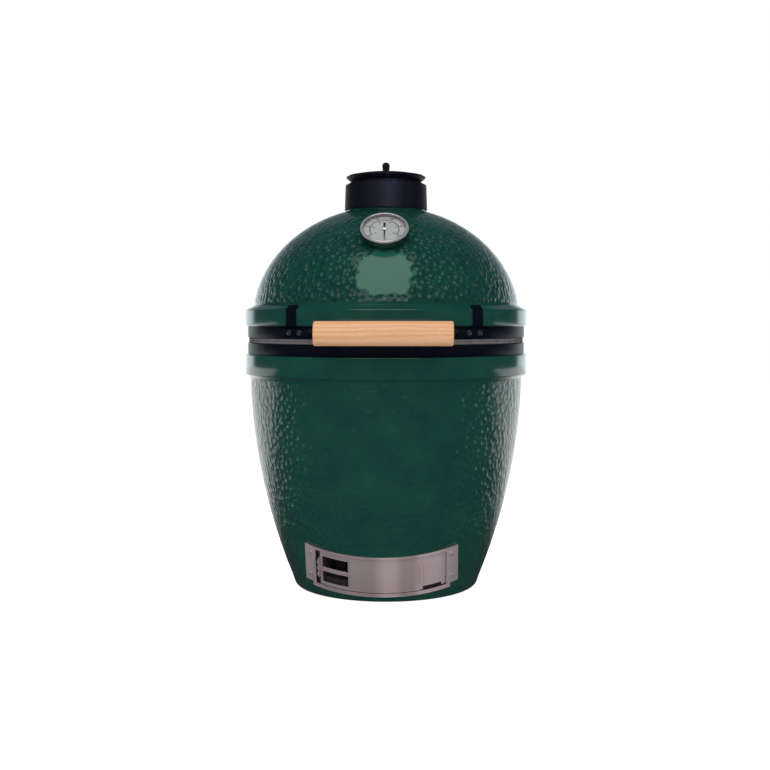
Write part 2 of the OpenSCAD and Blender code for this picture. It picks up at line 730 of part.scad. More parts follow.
// ---- Chimney vent: collar, swinging disc, daisy wheel and knob ----
collar_plate = 13;
ear_round = 12;
pivot_r = 4;
module vent_collar() color("black") difference() {
    union() {
        rotate_extrude() polygon([
            [0, collar_z], [collar_r - 1, collar_z], [collar_r, collar_z + 1],
            [collar_top_r, collar_z + collar_h - 8], [collar_top_r - 1, collar_z + collar_h - 6.5],
            [neck_r + 1, collar_z + collar_h - 2], [neck_r, collar_z + collar_h],
            [0, collar_z + collar_h]
        ]);
        vent_ear(collar_z + collar_h - collar_plate, collar_plate, neck_r);
    }
    translate([0, 0, collar_z - 1]) cylinder(r = flue_r, h = collar_h + 2);
    translate([0, 0, collar_z - 1])
        cylinder(r = spigot_r + sleeve_t + 0.2, h = spigot_h + 1.4);
    translate([0, pivot_y, collar_z]) cylinder(r = pivot_r - 0.05, h = collar_h + 1);
}
// The lug behind the vent that the pivot screw stands in
module vent_ear(z, h, r_from) {
    translate([0, 0, z]) linear_extrude(h) difference() {
        hull() {
            translate([0, pivot_y]) circle(r = ear_round, $fn = 48);
            translate([0, r_from - 24]) square([2 * ear_round + 10, 1], center = true);
        }
        circle(r = flue_r + 1);
    }
}
module chimney_gasket() color("gray")
    tube(spigot_r + sleeve_t, spigot_r + 0.1, spigot_h - 2, collar_z + 0.5);
module petal_places(r, z, h, turn) {
    for (i = [0 : petals - 1]) rotate([0, 0, 360 * i / petals + turn])
        translate([0, -petal_ring, z]) cylinder(r = r, h = h);
}
shank_r = 3.5;
// The daisy screw's head is sunk into the underside of the disc, so that it clears the collar
daisy_head_r = 8;
daisy_head_h = 3.6;
daisy_head_z = disc_z + 0.4;
module vent_disc() color("black") difference() {
    union() {
        rotate_extrude() polygon([
            [0, disc_z], [neck_r + 1, disc_z], [disc_r - 0.6, disc_z + disc_t - 4],
            [disc_r, disc_z + disc_t - 2.8], [disc_r - 0.6, disc_z + disc_t - 1.4],
            [daisy_r + 1.5, disc_z + disc_t], [0, disc_z + disc_t]
        ]);
        vent_ear(disc_z, disc_t - 2, disc_r);
    }
    petal_places(petal_r, disc_z - 1, disc_t + 2, 0);
    translate([0, 0, disc_z - 1]) cylinder(r = shank_r + 0.05, h = disc_t + 2);
    translate([0, 0, disc_z - 1])
        cylinder(r = daisy_head_r + 0.3, h = daisy_head_z + daisy_head_h + 0.1 - disc_z + 1);
    translate([0, pivot_y, disc_z - 1]) cylinder(r = pivot_r + 0.05, h = disc_t + 2);
}
module vent_pivot_screw() color("silver") translate([0, pivot_y, 0]) {
    pivot_low = collar_z + collar_h - collar_plate;
    translate([0, 0, pivot_low]) cylinder(r = pivot_r - 0.05, h = disc_z + disc_t - pivot_low);
    translate([0, 0, disc_z + disc_t - 2 + 0.2]) screw_head(8, 4.5);
}
module daisy_wheel() color("black") difference() {
    rotate_extrude() polygon([
        [0, daisy_z], [daisy_r, daisy_z], [daisy_r, daisy_z + 0.8],
        [daisy_r * 0.72, daisy_z + daisy_t * 0.6], [daisy_r * 0.35, daisy_z + daisy_t * 0.93],
        [12, daisy_z + daisy_t], [0, daisy_z + daisy_t]
    ]);
    petal_places(petal_r, daisy_z - 1, daisy_t + 2, 180 / petals);
    translate([0, 0, daisy_z - 1]) cylinder(r = shank_r + 0.05, h = daisy_t + 2);
}
module daisy_screw() color("silver") {
    translate([0, 0, daisy_head_z]) cylinder(r = daisy_head_r, h = daisy_head_h);
    translate([0, 0, daisy_head_z + 1])
        cylinder(r = shank_r, h = knob_z + knob_h / 2 - daisy_head_z - 2);
}
module vent_knob() color("black") difference() {
    translate([0, 0, knob_z]) rotate_extrude() polygon([
        [0, 0], [knob_r - 1.6, 0], [knob_r - 2, 3], [knob_r - 1.2, knob_h * 0.45],
        [knob_r, knob_h * 0.6], [knob_r, knob_h * 0.82], [knob_r - 1.2, knob_h * 0.94],
        [knob_r - 3.4, knob_h], [0, knob_h]
    ]);
    translate([0, 0, knob_z - 1]) cylinder(r = shank_r + 0.05, h = knob_h / 2 + 2);
}

// ---- Thermometer ----
case_r = bezel_r - 5;
dial_h = 14;
module thermometer_seat() color("silver") at_dial() tube(15, stem_r + stem_gap, seat_h - 0.4, 0.3);
module thermometer_case() color("silver") at_dial() difference() {
    translate([0, 0, seat_h]) cylinder(r = case_r, h = case_depth - seat_h - 2.5);
    translate([0, 0, seat_h + 1.2]) cylinder(r = case_r - 1, h = case_depth);
    translate([0, 0, seat_h - 1]) cylinder(r = stem_r + 0.05, h = 3);
}
module thermometer_bezel() color("silver") at_dial() rotate_extrude() polygon([
    [case_r + 0.1, seat_h + 2.4], [bezel_r - 1.2, seat_h + 2.4], [bezel_r, seat_h + 4],
    [bezel_r, case_depth - 3], [bezel_r - 1.4, case_depth - 0.8], [bezel_r - 3, case_depth],
    [bezel_r - bezel_w, case_depth - 1], [bezel_r - bezel_w, case_depth - 2.2],
    [case_r + 0.1, case_depth - 2.2]
]);
module thermometer_dial() color("white") at_dial() difference() {
    translate([0, 0, dial_h]) cylinder(r = case_r - 1.1, h = 0.8);
    translate([0, 0, dial_h - 1]) cylinder(r = stem_r + 0.3, h = 3);
}
pointer_z = dial_h + 1.4;
pointer_tip = 33;
pointer_tail = 18;
module thermometer_pointer() color("black") at_dial() {
    difference() {
        translate([0, 0, pointer_z]) cylinder(r = 3.4, h = 1.6);
        translate([0, 0, pointer_z - 1]) cylinder(r = 1.05, h = 2);
    }
    translate([0, 0, pointer_z + 0.2]) linear_extrude(0.7) difference() {
        polygon([
            [-0.4, -pointer_tip], [0.4, -pointer_tip], [1.4, 0], [2.2, pointer_tail],
            [-2.2, pointer_tail], [-1.4, 0]
        ]);
        circle(r = 2.4);
    }
}
module thermometer_lens() color("white", 0.3) at_dial()
    translate([0, 0, case_depth - 3.9]) cylinder(r = case_r - 1.1, h = 1.4);
module thermometer_stem() color("silver") at_dial() {
    translate([0, 0, -stem_len]) cylinder(r = stem_r, h = stem_len + dial_h - 0.4);
    translate([0, 0, dial_h - 1]) cylinder(r = 1, h = pointer_z + 0.6 - dial_h);
}
nut_drop = wall_t + 1.6;
module thermometer_nut() color("silver") at_dial() translate([0, 0, -nut_drop - 6]) difference() {
    union() {
        cylinder(r = 8, h = 6, $fn = 6);
        translate([0, 0, 6]) cylinder(r = 13, h = 1);
    }
    translate([0, 0, -1]) cylinder(r = stem_r + 0.05, h = 9);
}

base_shell();
base_gasket();
base_band();
fire_box();
fire_ring();
fire_grate();
cooking_grid();
draft_frame();
draft_door();
draft_slide();
draft_screws();
dome_shell();
dome_gasket();
dome_band();
dome_clip_left();
dome_clip_right();
handle_bracket_left();
handle_bracket_right();
handle_rivets();
handle_grip();
handle_rod();
handle_spacers();
handle_nuts();
lower_hinge_bracket();
upper_hinge_bracket();
lower_hinge_bolts();
upper_hinge_bolts();
hinge_pin();
hinge_pin_clip();
hinge_bushes();
hinge_sleeve();
hinge_spring_left();
hinge_spring_right();
vent_collar();
chimney_gasket();
vent_disc();
vent_pivot_screw();
daisy_wheel();
daisy_screw();
vent_knob();
thermometer_seat();
thermometer_case();
thermometer_bezel();
thermometer_dial();
thermometer_pointer();
thermometer_lens();
thermometer_stem();
thermometer_nut();
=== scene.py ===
"""Looks of a kamado ceramic grill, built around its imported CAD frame.

Laid out as a Blender add-on: sizes and colours in property groups, one operator for each group of
pieces and one for the stage, a panel that lists them, and main(), which calls them in order.
"""
import json
import math
from types import SimpleNamespace

import bpy
import numpy as np
from mathutils import Matrix, Vector
from mathutils.bvhtree import BVHTree


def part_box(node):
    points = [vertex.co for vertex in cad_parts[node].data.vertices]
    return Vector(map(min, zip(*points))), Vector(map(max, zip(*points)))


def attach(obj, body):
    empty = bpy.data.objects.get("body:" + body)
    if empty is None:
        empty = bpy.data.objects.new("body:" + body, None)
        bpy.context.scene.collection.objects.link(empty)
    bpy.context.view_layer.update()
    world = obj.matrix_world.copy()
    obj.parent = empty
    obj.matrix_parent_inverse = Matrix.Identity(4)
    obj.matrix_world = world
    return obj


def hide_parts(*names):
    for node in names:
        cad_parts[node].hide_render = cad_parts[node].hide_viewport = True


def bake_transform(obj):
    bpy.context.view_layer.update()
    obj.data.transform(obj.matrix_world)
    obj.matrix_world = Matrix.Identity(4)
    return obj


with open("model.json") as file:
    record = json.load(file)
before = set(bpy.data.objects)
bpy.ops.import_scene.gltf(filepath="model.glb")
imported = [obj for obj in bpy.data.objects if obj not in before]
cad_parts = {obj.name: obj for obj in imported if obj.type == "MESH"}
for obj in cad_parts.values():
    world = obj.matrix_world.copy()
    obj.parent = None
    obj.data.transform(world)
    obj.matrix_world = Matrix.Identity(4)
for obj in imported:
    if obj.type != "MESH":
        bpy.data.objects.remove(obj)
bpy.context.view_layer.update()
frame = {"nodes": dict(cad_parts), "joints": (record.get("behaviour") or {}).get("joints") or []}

bl_info = {
    "name": "Kamado ceramic grill",
    "version": (1, 0, 0),
    "blender": (4, 5, 0),
    "location": "View3D > Sidebar > Grill",
    "description": "Glazed ceramic grill with its bands, vent, thermometer, handle and draft door",
    "category": "Add Mesh",
}

MM = 0.001

# ---- Image points, in the photograph's own 770 x 770 frame ----
IMAGE_W = 770
IMAGE_H = 770
POINTS = {
    "left_edge": (246.0, None), "right_edge": (526.0, None), "top_edge": (None, 162.0),
    "bottom_edge": (None, 604.0), "dial_centre": (386.1, 229.3), "grip_left_end": (313.7, 333.7),
    "grip_right_end": (453.9, 333.7), "clip_left_top": (290.6, 305.5),
    "clip_right_top": (476.2, 305.0), "collar_left_foot": (345.5, 209.5),
    "collar_right_foot": (427.0, 209.5), "plate_top_left": (304.5, 541.5),
    "plate_top_right": (459.0, 542.7), "plate_top_middle": (382.0, 557.3),
    "badge_middle": (385.0, 272.5), "slot_corner": (349.6, 560.3),
}

# ---- Facts of the frame that the pieces are placed by ----
BASE_LOW, BASE_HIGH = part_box("base_shell")
DOME_LOW, DOME_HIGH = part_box("dome_shell")
RIM_HEIGHT = 0.040
SEAT_STEP = 0.0029  # from the outside of a band in to the ceramic it lies on
SPIGOT_HEIGHT = 0.034
DOME_RISE = 0.032  # from the dome's foot to the middle of its oval
BAND_STEP = 0.001
SHELL = SimpleNamespace(
    body=0.2659, belly_arc=1.1078, belly_z=0.4352, wall=0.027, floor=0.030,
    foot_round=0.011, rim=BASE_HIGH.x, rim_soft=0.0032, rim_fillet=0.005,
    edge_soft=0.0015, seat=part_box("base_band")[1].x - SEAT_STEP,
    base_rim_low=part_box("base_band")[0].z - RIM_HEIGHT,
    base_rim_high=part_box("base_band")[0].z, base_top=BASE_HIGH.z, dome_foot=DOME_LOW.z,
    dome_rim_low=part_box("dome_band")[1].z + BAND_STEP,
    dome_rim_high=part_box("dome_band")[1].z + RIM_HEIGHT, shoulder_slope=0.011,
    dome_a=0.2609, dome_b=0.2226, dome_z=DOME_LOW.z + DOME_RISE, chimney_foot=0.077,
    chimney_shoulder=DOME_HIGH.z - SPIGOT_HEIGHT, spigot=0.070, spigot_height=SPIGOT_HEIGHT,
    flue=0.052, base_rings=128, dome_rings=112,
)
JOINTS = {joint["name"]: joint for joint in frame["joints"]}


def joint_place(name):
    """A hinge's point and its axis, in metres."""
    joint = JOINTS[name]
    return Vector(joint["pos_m"]), Vector(joint["axis"]).normalized()


def frame_on_axis(name):
    """A matrix whose Z is a joint's axis, with X level and Y pointing up the dial or plate."""
    place, axis = joint_place(name)
    level = Vector((0, 0, 1)).cross(axis)
    level.normalize()
    up = axis.cross(level)
    turn = Matrix((level, up, axis)).transposed().to_4x4()
    return Matrix.Translation(place) @ turn


DRAFT_PLACE = frame_on_axis("draft_door_slide")


# ---- Mesh helpers: every new piece starts as a primitive and is shaped in edit mode ----
def deselect():
    """Nothing is selected and nothing is in edit mode."""
    if bpy.context.object and bpy.context.object.mode != "OBJECT":
        bpy.ops.object.mode_set(mode="OBJECT")
    bpy.ops.object.select_all(action="DESELECT")


def take(name):
    """Names the primitive that was just added."""
    piece = bpy.context.object
    piece.name = name
    piece.data.name = name
    return piece


def select_only(piece):
    deselect()
    piece.select_set(True)
    bpy.context.view_layer.objects.active = piece


def apply_modifier(piece, kind, **settings):
    """Adds one modifier with its settings and applies it."""
    select_only(piece)
    modifier = piece.modifiers.new(kind.title(), kind)
    for key, value in settings.items():
        setattr(modifier, key, value)
    bpy.ops.object.modifier_apply(modifier=modifier.name)
    return piece


def apply_place(piece):
    """Moves the object's own place into its mesh."""
    select_only(piece)
    bpy.ops.object.transform_apply(location=True, rotation=True, scale=True)


def place_mesh(piece, matrix):
    piece.data.transform(matrix)
    piece.data.update()


def turn_mesh(piece, degrees, axis="Z"):
    place_mesh(piece, Matrix.Rotation(math.radians(degrees), 4, axis))


def move_mesh(piece, x, y, z):
    place_mesh(piece, Matrix.Translation((x, y, z)))


def weld(piece, distance=1e-6):
    """Merges vertices that lie in one place, and leaves the piece in edit mode."""
    select_only(piece)
    bpy.ops.object.mode_set(mode="EDIT")
    bpy.ops.mesh.select_all(action="SELECT")
    bpy.ops.mesh.remove_doubles(threshold=distance)


def smooth(piece, degrees=35):
    select_only(piece)
    bpy.ops.object.shade_smooth_by_angle(angle=math.radians(degrees))


def outline(name, points):
    """A line of edges in the XZ plane: one corner, extruded from point to point."""
    deselect()
    bpy.ops.mesh.primitive_plane_add(size=MM)
    piece = take(name)
    bpy.ops.object.mode_set(mode="EDIT")
    bpy.ops.mesh.select_all(action="SELECT")
    bpy.ops.mesh.merge(type="CENTER")
    bpy.ops.transform.translate(value=(points[0][0], 0, points[0][1]))
    for before, after in zip(points, points[1:]):
        step = (after[0] - before[0], 0, after[1] - before[1])
        bpy.ops.mesh.extrude_region_move(TRANSFORM_OT_translate={"value": step})
    bpy.ops.object.mode_set(mode="OBJECT")
    return piece


def turned(name, points, around, closed=True, sweep=360.0, start=0.0):
    """A piece turned on a lathe: the outline, swept about Z by a screw modifier."""
    ring = points + [points[0]] if closed else points
    piece = outline(name, ring)
    turn_mesh(piece, start)
    apply_modifier(
        piece, "SCREW", angle=math.radians(sweep), steps=around, render_steps=around,
        use_merge_vertices=True, merge_threshold=2e-6, use_smooth_shade=True,
    )
    weld(piece, 2e-6)
    if sweep < 360 and closed:
        bpy.ops.mesh.fill_holes(sides=0)
    bpy.ops.mesh.select_all(action="SELECT")
    bpy.ops.mesh.normals_make_consistent(inside=False)
    bpy.ops.object.mode_set(mode="OBJECT")
    return piece


def soften(piece, width, segments=2, degrees=30):
    """Rounds the sharp edges of a piece, as a casting or a pressing has them."""
    apply_modifier(
        piece, "BEVEL", width=width, segments=segments, limit_method="ANGLE",
        angle_limit=math.radians(degrees), harden_normals=False,
    )
    smooth(piece)
    return piece


def copy_of(node, name):
    """An editable, merged copy of a CAD node's mesh."""
    source = frame["nodes"][node]
    deselect()
    bpy.ops.mesh.primitive_plane_add(size=MM)
    piece = take(name)
    piece.data = source.data.copy()
    piece.data.name = name
    piece.data.materials.clear()
    weld(piece)
    bpy.ops.mesh.tris_convert_to_quads()
    bpy.ops.mesh.dissolve_limited(angle_limit=math.radians(0.5))
    bpy.ops.object.mode_set(mode="OBJECT")
    return piece


def dress(piece, material, body, *nodes, slot):
    """Gives a piece its material by name, its body and the CAD nodes it stands for; the slot is not
    used.
    """
    piece.data.materials.clear()
    piece.data.materials.append(bpy.data.materials[material])
    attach(piece, body)
    if nodes:
        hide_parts(*nodes)
    return piece


# ---- Shader helpers ----
class Socket:
    """A shader value that Python's operators work on: each operator adds its Math node."""

    def __init__(self, shader, link):
        self.shader = shader
        self.link = link

    def math(self, operation, other):
        return self.shader.node("ShaderNodeMath", {"operation": operation}, self, other)

    def __add__(self, other):
        return self.math("ADD", other)

    def __mul__(self, other):
        return self.math("MULTIPLY", other)

    def __sub__(self, other):
        return self.math("SUBTRACT", other)



class Shader:
    """Builds one material's node tree."""

    def __init__(self, name):
        self.material = bpy.data.materials.new(name)
        self.material.use_nodes = True
        self.tree = self.material.node_tree
        self.bsdf = self.tree.nodes["Principled BSDF"]

    def node(self, kind, settings=None, *values, out=0, **named):
        """Adds a node: its settings, its inputs by number or name, and the output to use."""
        made = self.tree.nodes.new(kind)
        for key, value in (settings or {}).items():
            if key == "stops":
                self.fill_ramp(made.color_ramp, value)
            else:
                setattr(made, key, value)
        for index, value in enumerate(values):
            self.feed(made.inputs[index], value)
        for key, value in named.items():
            self.feed(made.inputs[key.replace("_", " ")], value)
        return None if out is None else Socket(self, made.outputs[out])

    @staticmethod
    def fill_ramp(ramp, stops):
        while len(ramp.elements) < len(stops):
            ramp.elements.new(0.5)
        for element, (place, colour) in zip(ramp.elements, stops):
            element.position = place
            element.color = (*colour, 1)

    def feed(self, socket, value):
        if isinstance(value, Socket):
            self.tree.links.new(value.link, socket)
        elif value is not None:
            socket.default_value = value

    def place(self, scale=(1, 1, 1), turn=(0, 0, 0)):
        """Object coordinates, scaled and turned."""
        coords = self.node("ShaderNodeTexCoord", out="Object")
        return self.node("ShaderNodeMapping", Vector=coords, Scale=scale, Rotation=turn)

    def part(self, place, axis):
        """One of the three parts of a place."""
        return self.node("ShaderNodeSeparateXYZ", None, place, out=axis)

    def vector(self, operation, first, *others, **named):
        return self.node("ShaderNodeVectorMath", {"operation": operation}, first, *others, **named)

    def noise(self, place, scale, detail=3.0, rough=0.5):
        return self.node(
            "ShaderNodeTexNoise", Vector=place, Scale=scale, Detail=detail, Roughness=rough
        )

    def blend(self, factor, first, second):
        """Two colours mixed by a factor."""
        ends = [c if isinstance(c, Socket) else (*c[:3], 1) for c in (first, second)]
        unused = [None] * 5
        return self.node("ShaderNodeMix", {"data_type": "RGBA"}, factor, *unused, *ends, out=2)

    def ramp(self, factor, *stops):
        return self.node("ShaderNodeValToRGB", {"stops": stops}, factor)

    def rise(self, factor, low, high):
        """Black up to low, white from high."""
        return self.ramp(factor, (low, (0, 0, 0)), (high, (1, 1, 1)))

    def across(self, tint, wide, stops):
        """Painted sheen: a colour made lighter or darker across the object's X, over a given width,
        standing in for light and reflections.
        """
        side = self.part(self.place(), "X") * (1 / wide) + 0.5
        light = self.ramp(side, *[(spot, (level / 2,) * 3) for spot, level in stops])
        return self.vector("MULTIPLY", tint, self.vector("SCALE", light, Scale=2.0))

    def bump(self, height, strength, distance):
        return self.node("ShaderNodeBump", Height=height, Strength=strength, Distance=distance)

    def finish(self, **sockets):
        """Feeds the shader's own sockets and returns the material."""
        for key, value in sockets.items():
            if isinstance(value, tuple) and len(value) == 3:
                value = (*value, 1)
            self.feed(self.bsdf.inputs[key.replace("_", " ")], value)
        return self.material


# ---- Materials ----
def glaze_material():
    """Deep green glaze: darker where it runs thin on a slope, with a clear coat over it; the smooth
    badge patch is painted lighter, a painted highlight for the front light's reflection.
    """
    sh = Shader("Green_glaze")
    look = bpy.context.scene.grill_colours
    place = sh.place()
    cloud = sh.noise(place, 16.0, 4.0, 0.55)
    fine = sh.noise(place, 190.0, 2.0, 0.6)
    skin, badge = (
        sh.node("ShaderNodeAttribute", {"attribute_name": name}, out="Fac")
        for name in ("skin", "badge")
    )
    fine_pitch = bpy.context.scene.grill_sizes.dimple_pitch / 1.08
    cell = sh.node(
        "ShaderNodeTexVoronoi", {"feature": "F1"}, Vector=place, Scale=1 / fine_pitch,
        Randomness=0.8,
    )
    bowl = cell * cell * skin
    body = sh.blend(sh.rise(cloud, 0.32, 0.7), look.glaze_deep, look.glaze)
    pooled = sh.blend((skin - bowl * 1.6) * 0.25, body, look.glaze_pool)
    speck = sh.rise(fine, 0.60, 0.78)
    tint = sh.blend(speck * 0.08, pooled, look.glaze_speck)
    # Painted highlight: the bare badge patch gets a lighter glaze colour that stands in for the
    # front light's reflection in it.
    tint = sh.blend(badge * 0.6, tint, look.glaze_badge)
    ripple = sh.noise(place, 60.0, 3.0, 0.5)
    normal = sh.bump(bowl + ripple * 0.02, 1.0, 0.0062)
    return sh.finish(
        Base_Color=tint, Roughness=cloud * 0.06 + 0.13, Normal=normal, Coat_Weight=0.85,
        Coat_Roughness=0.05, Specular_IOR_Level=0.5,
    )


def clay_material(name, colour, dark, dark_top):
    """Bare fired clay: matt, sandy, and near black below the given height, in metres, darker
    towards the bottom.
    """
    sh = Shader(name)
    place = sh.place()
    grain = sh.noise(place, 420.0, 3.0, 0.7)
    cloud = sh.noise(place, 14.0, 4.0, 0.6)
    tint = sh.blend(grain * 0.45 + cloud * 0.35, colour, dark)
    high = sh.part(place, "Z") + cloud * 0.06
    # Near black below the given height, fading over a few centimetres: darker towards the bottom.
    dark_below = sh.ramp(high * (0.5 / dark_top), (0.46, (1, 1, 1)), (0.56, (0, 0, 0)))
    tint = sh.blend(dark_below, tint, (0.024, 0.016, 0.020))
    return sh.finish(
        Base_Color=tint, Roughness=grain * 0.2 + 0.72, Normal=sh.bump(grain, 0.4, 0.0012)
    )


def coated_material(name, colour, rough, worn, grain_scale=900.0, bumpiness=0.12, sheen=None,
                    specular=0.2):
    """Powder coat or cast metal: a fine orange-peel skin, a little lighter where it is rubbed, and
    where asked a painted highlight across its X.
    """
    sh = Shader(name)
    place = sh.place()
    peel = sh.noise(place, grain_scale, 2.0, 0.5)
    cloud = sh.noise(place, 22.0, 4.0, 0.6)
    rub = sh.rise(cloud, 0.45, 0.75)
    tint = sh.blend(rub * 0.5, colour, worn)
    # Painted highlight: lighter and darker bands across X.
    if sheen:
        tint = sh.across(tint, *sheen)
    return sh.finish(
        Base_Color=tint, Roughness=cloud * 0.16 + rough,
        Normal=sh.bump(peel, bumpiness, 0.0008), Metallic=0.0, Specular_IOR_Level=specular,
    )


def metal_material(name, colour, dark, rough, brushed=(1, 1, 1), scale=160.0, depth=0.06,
                   metallic=1.0, sheen=None):
    """Bare or plated metal: brushing stretched along one direction, and faint stains, and where
    asked a painted reflection across its X.
    """
    sh = Shader(name)
    grain = sh.noise(sh.place(brushed), scale, 3.0, 0.6)
    stain = sh.noise(sh.place(), 26.0, 4.0, 0.6)
    tint = sh.blend(stain * 0.7, colour, dark)
    # Painted reflection: lighter and darker bands across X.
    if sheen:
        tint = sh.across(tint, *sheen)
    return sh.finish(
        Base_Color=tint, Metallic=metallic,
        Roughness=grain * 0.16 + rough, Normal=sh.bump(grain, depth, 0.0006),
    )


def felt_material():
    """Pressed grey wool: soft, with light and dark fibres lying every way."""
    sh = Shader("Grey_felt")
    look = bpy.context.scene.grill_colours
    fibre = sh.noise(sh.place((1, 1, 3)), 520.0, 4.0, 0.75)
    cloud = sh.noise(sh.place(), 70.0, 3.0, 0.6)
    tint = sh.blend(
        sh.rise(fibre * 0.7 + cloud * 0.3, 0.36, 0.64),
        look.felt_dark, look.felt,
    )
    return sh.finish(
        Base_Color=tint, Roughness=fibre * 0.05 + 0.93, Normal=sh.bump(fibre, 0.7, 0.0015)
    )


def beech_material():
    """Oiled beech: grain along X, growth rings across it, and short dark flecks."""
    sh = Shader("Oiled_beech")
    look = bpy.context.scene.grill_colours
    warp = sh.noise(sh.place((1.6, 9, 9)), 5.0, 3.0, 0.5)
    rings = sh.node(
        "ShaderNodeTexWave", {"wave_type": "BANDS", "bands_direction": "Z"},
        Vector=sh.place((0.25, 1.0, 1.0), (0.5, 0.03, 0.02)), Scale=38.0, Distortion=5.0,
        Detail=3.0, Detail_Scale=1.2,
    )
    flecks = sh.noise(sh.place((7, 90, 90)), 9.0, 2.0, 0.5)
    fleck = sh.rise(flecks, 0.63, 0.7)
    body = sh.blend(
        sh.rise(rings * 0.55 + warp * 0.45, 0.25, 0.8),
        look.beech, look.beech_grain,
    )
    pores = sh.noise(sh.place((14, 300, 300)), 6.0, 2.0, 0.6)
    return sh.finish(
        Base_Color=sh.blend(fleck * 0.45, body, look.beech_fleck),
        Roughness=pores * 0.15 + 0.42, Normal=sh.bump(pores, 0.12, 0.0008), Coat_Weight=0.08,
        Coat_Roughness=0.3,
    )


def glass_material():
    """A flat clear lens that the dial shows through."""
    sh = Shader("Dial_lens")
    smear = sh.noise(sh.place(), 45.0, 3.0, 0.6)
    return sh.finish(
        Base_Color=(1, 1, 1), Roughness=smear * 0.04 + 0.01, Transmission_Weight=1.0, IOR=1.08
    )


# ---- Sizes and colours that a user would change ----
def colour(name, description, value):
    return bpy.props.FloatVectorProperty(
        name=name, description=description, default=value, min=0, max=1, size=3, subtype="COLOR"
    )


def length(name, description, value):
    return bpy.props.FloatProperty(
        name=name, description=description, default=value, min=0, unit="LENGTH", precision=5
    )


class GrillSizes(bpy.types.PropertyGroup):
    """Sizes of what the CAD frame leaves to the looks."""

    dimple_pitch: length("Dimple pitch", "Distance between neighbouring hollows", 0.0126)
    dimple_depth: length("Dimple depth", "Depth of each hollow in the glaze", 0.0005)
    badge_width: length("Badge width", "Width of the smooth patch on the dome", 0.106)
    badge_height: length("Badge height", "Height of the smooth patch, along the slope", 0.092)
    shell_steps: bpy.props.IntProperty(
        name="Shell steps", description="Faces round each ceramic shell", default=560, min=64
    )
    seed: bpy.props.IntProperty(
        name="Seed", description="Draws where the hollows lie", default=11, min=0
    )


class GrillColours(bpy.types.PropertyGroup):
    """Colours of the finishes, as linear values."""

    glaze: colour("Glaze", "Glaze where it is thick", (0.0095, 0.074, 0.052))
    glaze_deep: colour("Deep glaze", "Glaze in its darker clouds", (0.0065, 0.056, 0.044))
    glaze_pool: colour("Pooled glaze", "Glaze gathered in a hollow", (0.0035, 0.034, 0.032))
    # Painted highlight: this colour is lighter than the glaze to stand in for the front light's
    # reflection on the smooth patch.
    glaze_badge: colour("Badge glaze", "Thinner glaze on the bare patch", (0.02, 0.15, 0.10))
    glaze_speck: colour("Glaze speck", "Fine light specks", (0.03, 0.095, 0.08))
    clay: colour("Clay", "Bare fired clay", (0.56, 0.42, 0.30))
    clay_dark: colour("Dark clay", "Iron spots in the clay", (0.38, 0.26, 0.17))
    black: colour("Black coat", "Powder coat on the steel", (0.0032, 0.0040, 0.0110))
    black_worn: colour("Worn black", "Powder coat where it is rubbed", (0.0060, 0.0062, 0.0150))
    felt: colour("Felt", "Light wool fibres", (0.30, 0.27, 0.28))
    felt_dark: colour("Dark felt", "Dark wool fibres", (0.115, 0.10, 0.105))
    steel: colour("Stainless steel", "Draft door and frame", (0.57, 0.455, 0.475))
    steel_dark: colour("Stained steel", "Stainless steel where it is dull", (0.43, 0.335, 0.35))
    beech: colour("Beech", "Light wood between the rings", (0.92, 0.515, 0.28))
    beech_grain: colour("Beech grain", "Darker wood in the rings", (0.80, 0.415, 0.20))
    beech_fleck: colour("Beech fleck", "Short rays in the wood", (0.42, 0.22, 0.10))
    dial: colour("Dial", "Face of the thermometer", (0.97, 1.0, 1.0))


# ---- Camera and the rays through image points ----
CAMERA = SimpleNamespace(
    lens=54.42, sensor=36.0, distance=2.295, height=0.5234, azimuth=0.8,
    pitch=-3.294, aim=0.049,
)


def make_camera():
    """The photograph's viewpoint: in front, a little above the middle, looking slightly down."""
    deselect()
    bpy.ops.object.camera_add()
    camera = bpy.context.object
    camera.name = "Camera"
    turn = math.radians(CAMERA.azimuth)
    camera.location = (
        CAMERA.distance * math.sin(turn), -CAMERA.distance * math.cos(turn), CAMERA.height
    )
    camera.rotation_euler = (
        math.radians(90 + CAMERA.pitch), 0, math.radians(CAMERA.azimuth + CAMERA.aim)
    )
    camera.data.sensor_fit = "AUTO"
    camera.data.sensor_width = CAMERA.sensor
    camera.data.lens = CAMERA.lens
    bpy.context.scene.camera = camera
    bpy.context.view_layer.update()
    return camera


def ray(x, y):
    """The camera's place and the direction in which it sees an image point."""
    camera = bpy.context.scene.camera
    long_side = max(IMAGE_W, IMAGE_H)
    ahead = -long_side * camera.data.lens / camera.data.sensor_width
    direction = camera.matrix_world.to_3x3() @ Vector((x - IMAGE_W / 2, IMAGE_H / 2 - y, ahead))
    return camera.matrix_world.translation.copy(), direction.normalized()


def surface(piece):
    """What rays meet: the faces of a piece."""
    places = [piece.matrix_world @ vertex.co for vertex in piece.data.vertices]
    return BVHTree.FromPolygons(places, [face.vertices[:] for face in piece.data.polygons])


# ---- Glazed shells ----
def arc_points(centre_x, centre_z, radius, start, end, count):
    """Points on an arc in the XZ plane, angles in degrees from +X."""
    angles = np.linspace(math.radians(start), math.radians(end), count)
    return [(centre_x + radius * math.cos(a), centre_z + radius * math.sin(a)) for a in angles]


def base_radius(z):
    """Outer radius of the base at a height: one long arc."""
    arc = SHELL.belly_arc
    return SHELL.body - arc + math.sqrt(arc ** 2 - (z - SHELL.belly_z) ** 2)


def dome_radius(z, inset=0.0):
    """Outer radius of the dome at a height: part of an oval, or the same oval drawn in by inset."""
    rise = (z - SHELL.dome_z) / (SHELL.dome_b - inset)
    return (SHELL.dome_a - inset) * math.sqrt(max(0.0, 1 - rise ** 2))


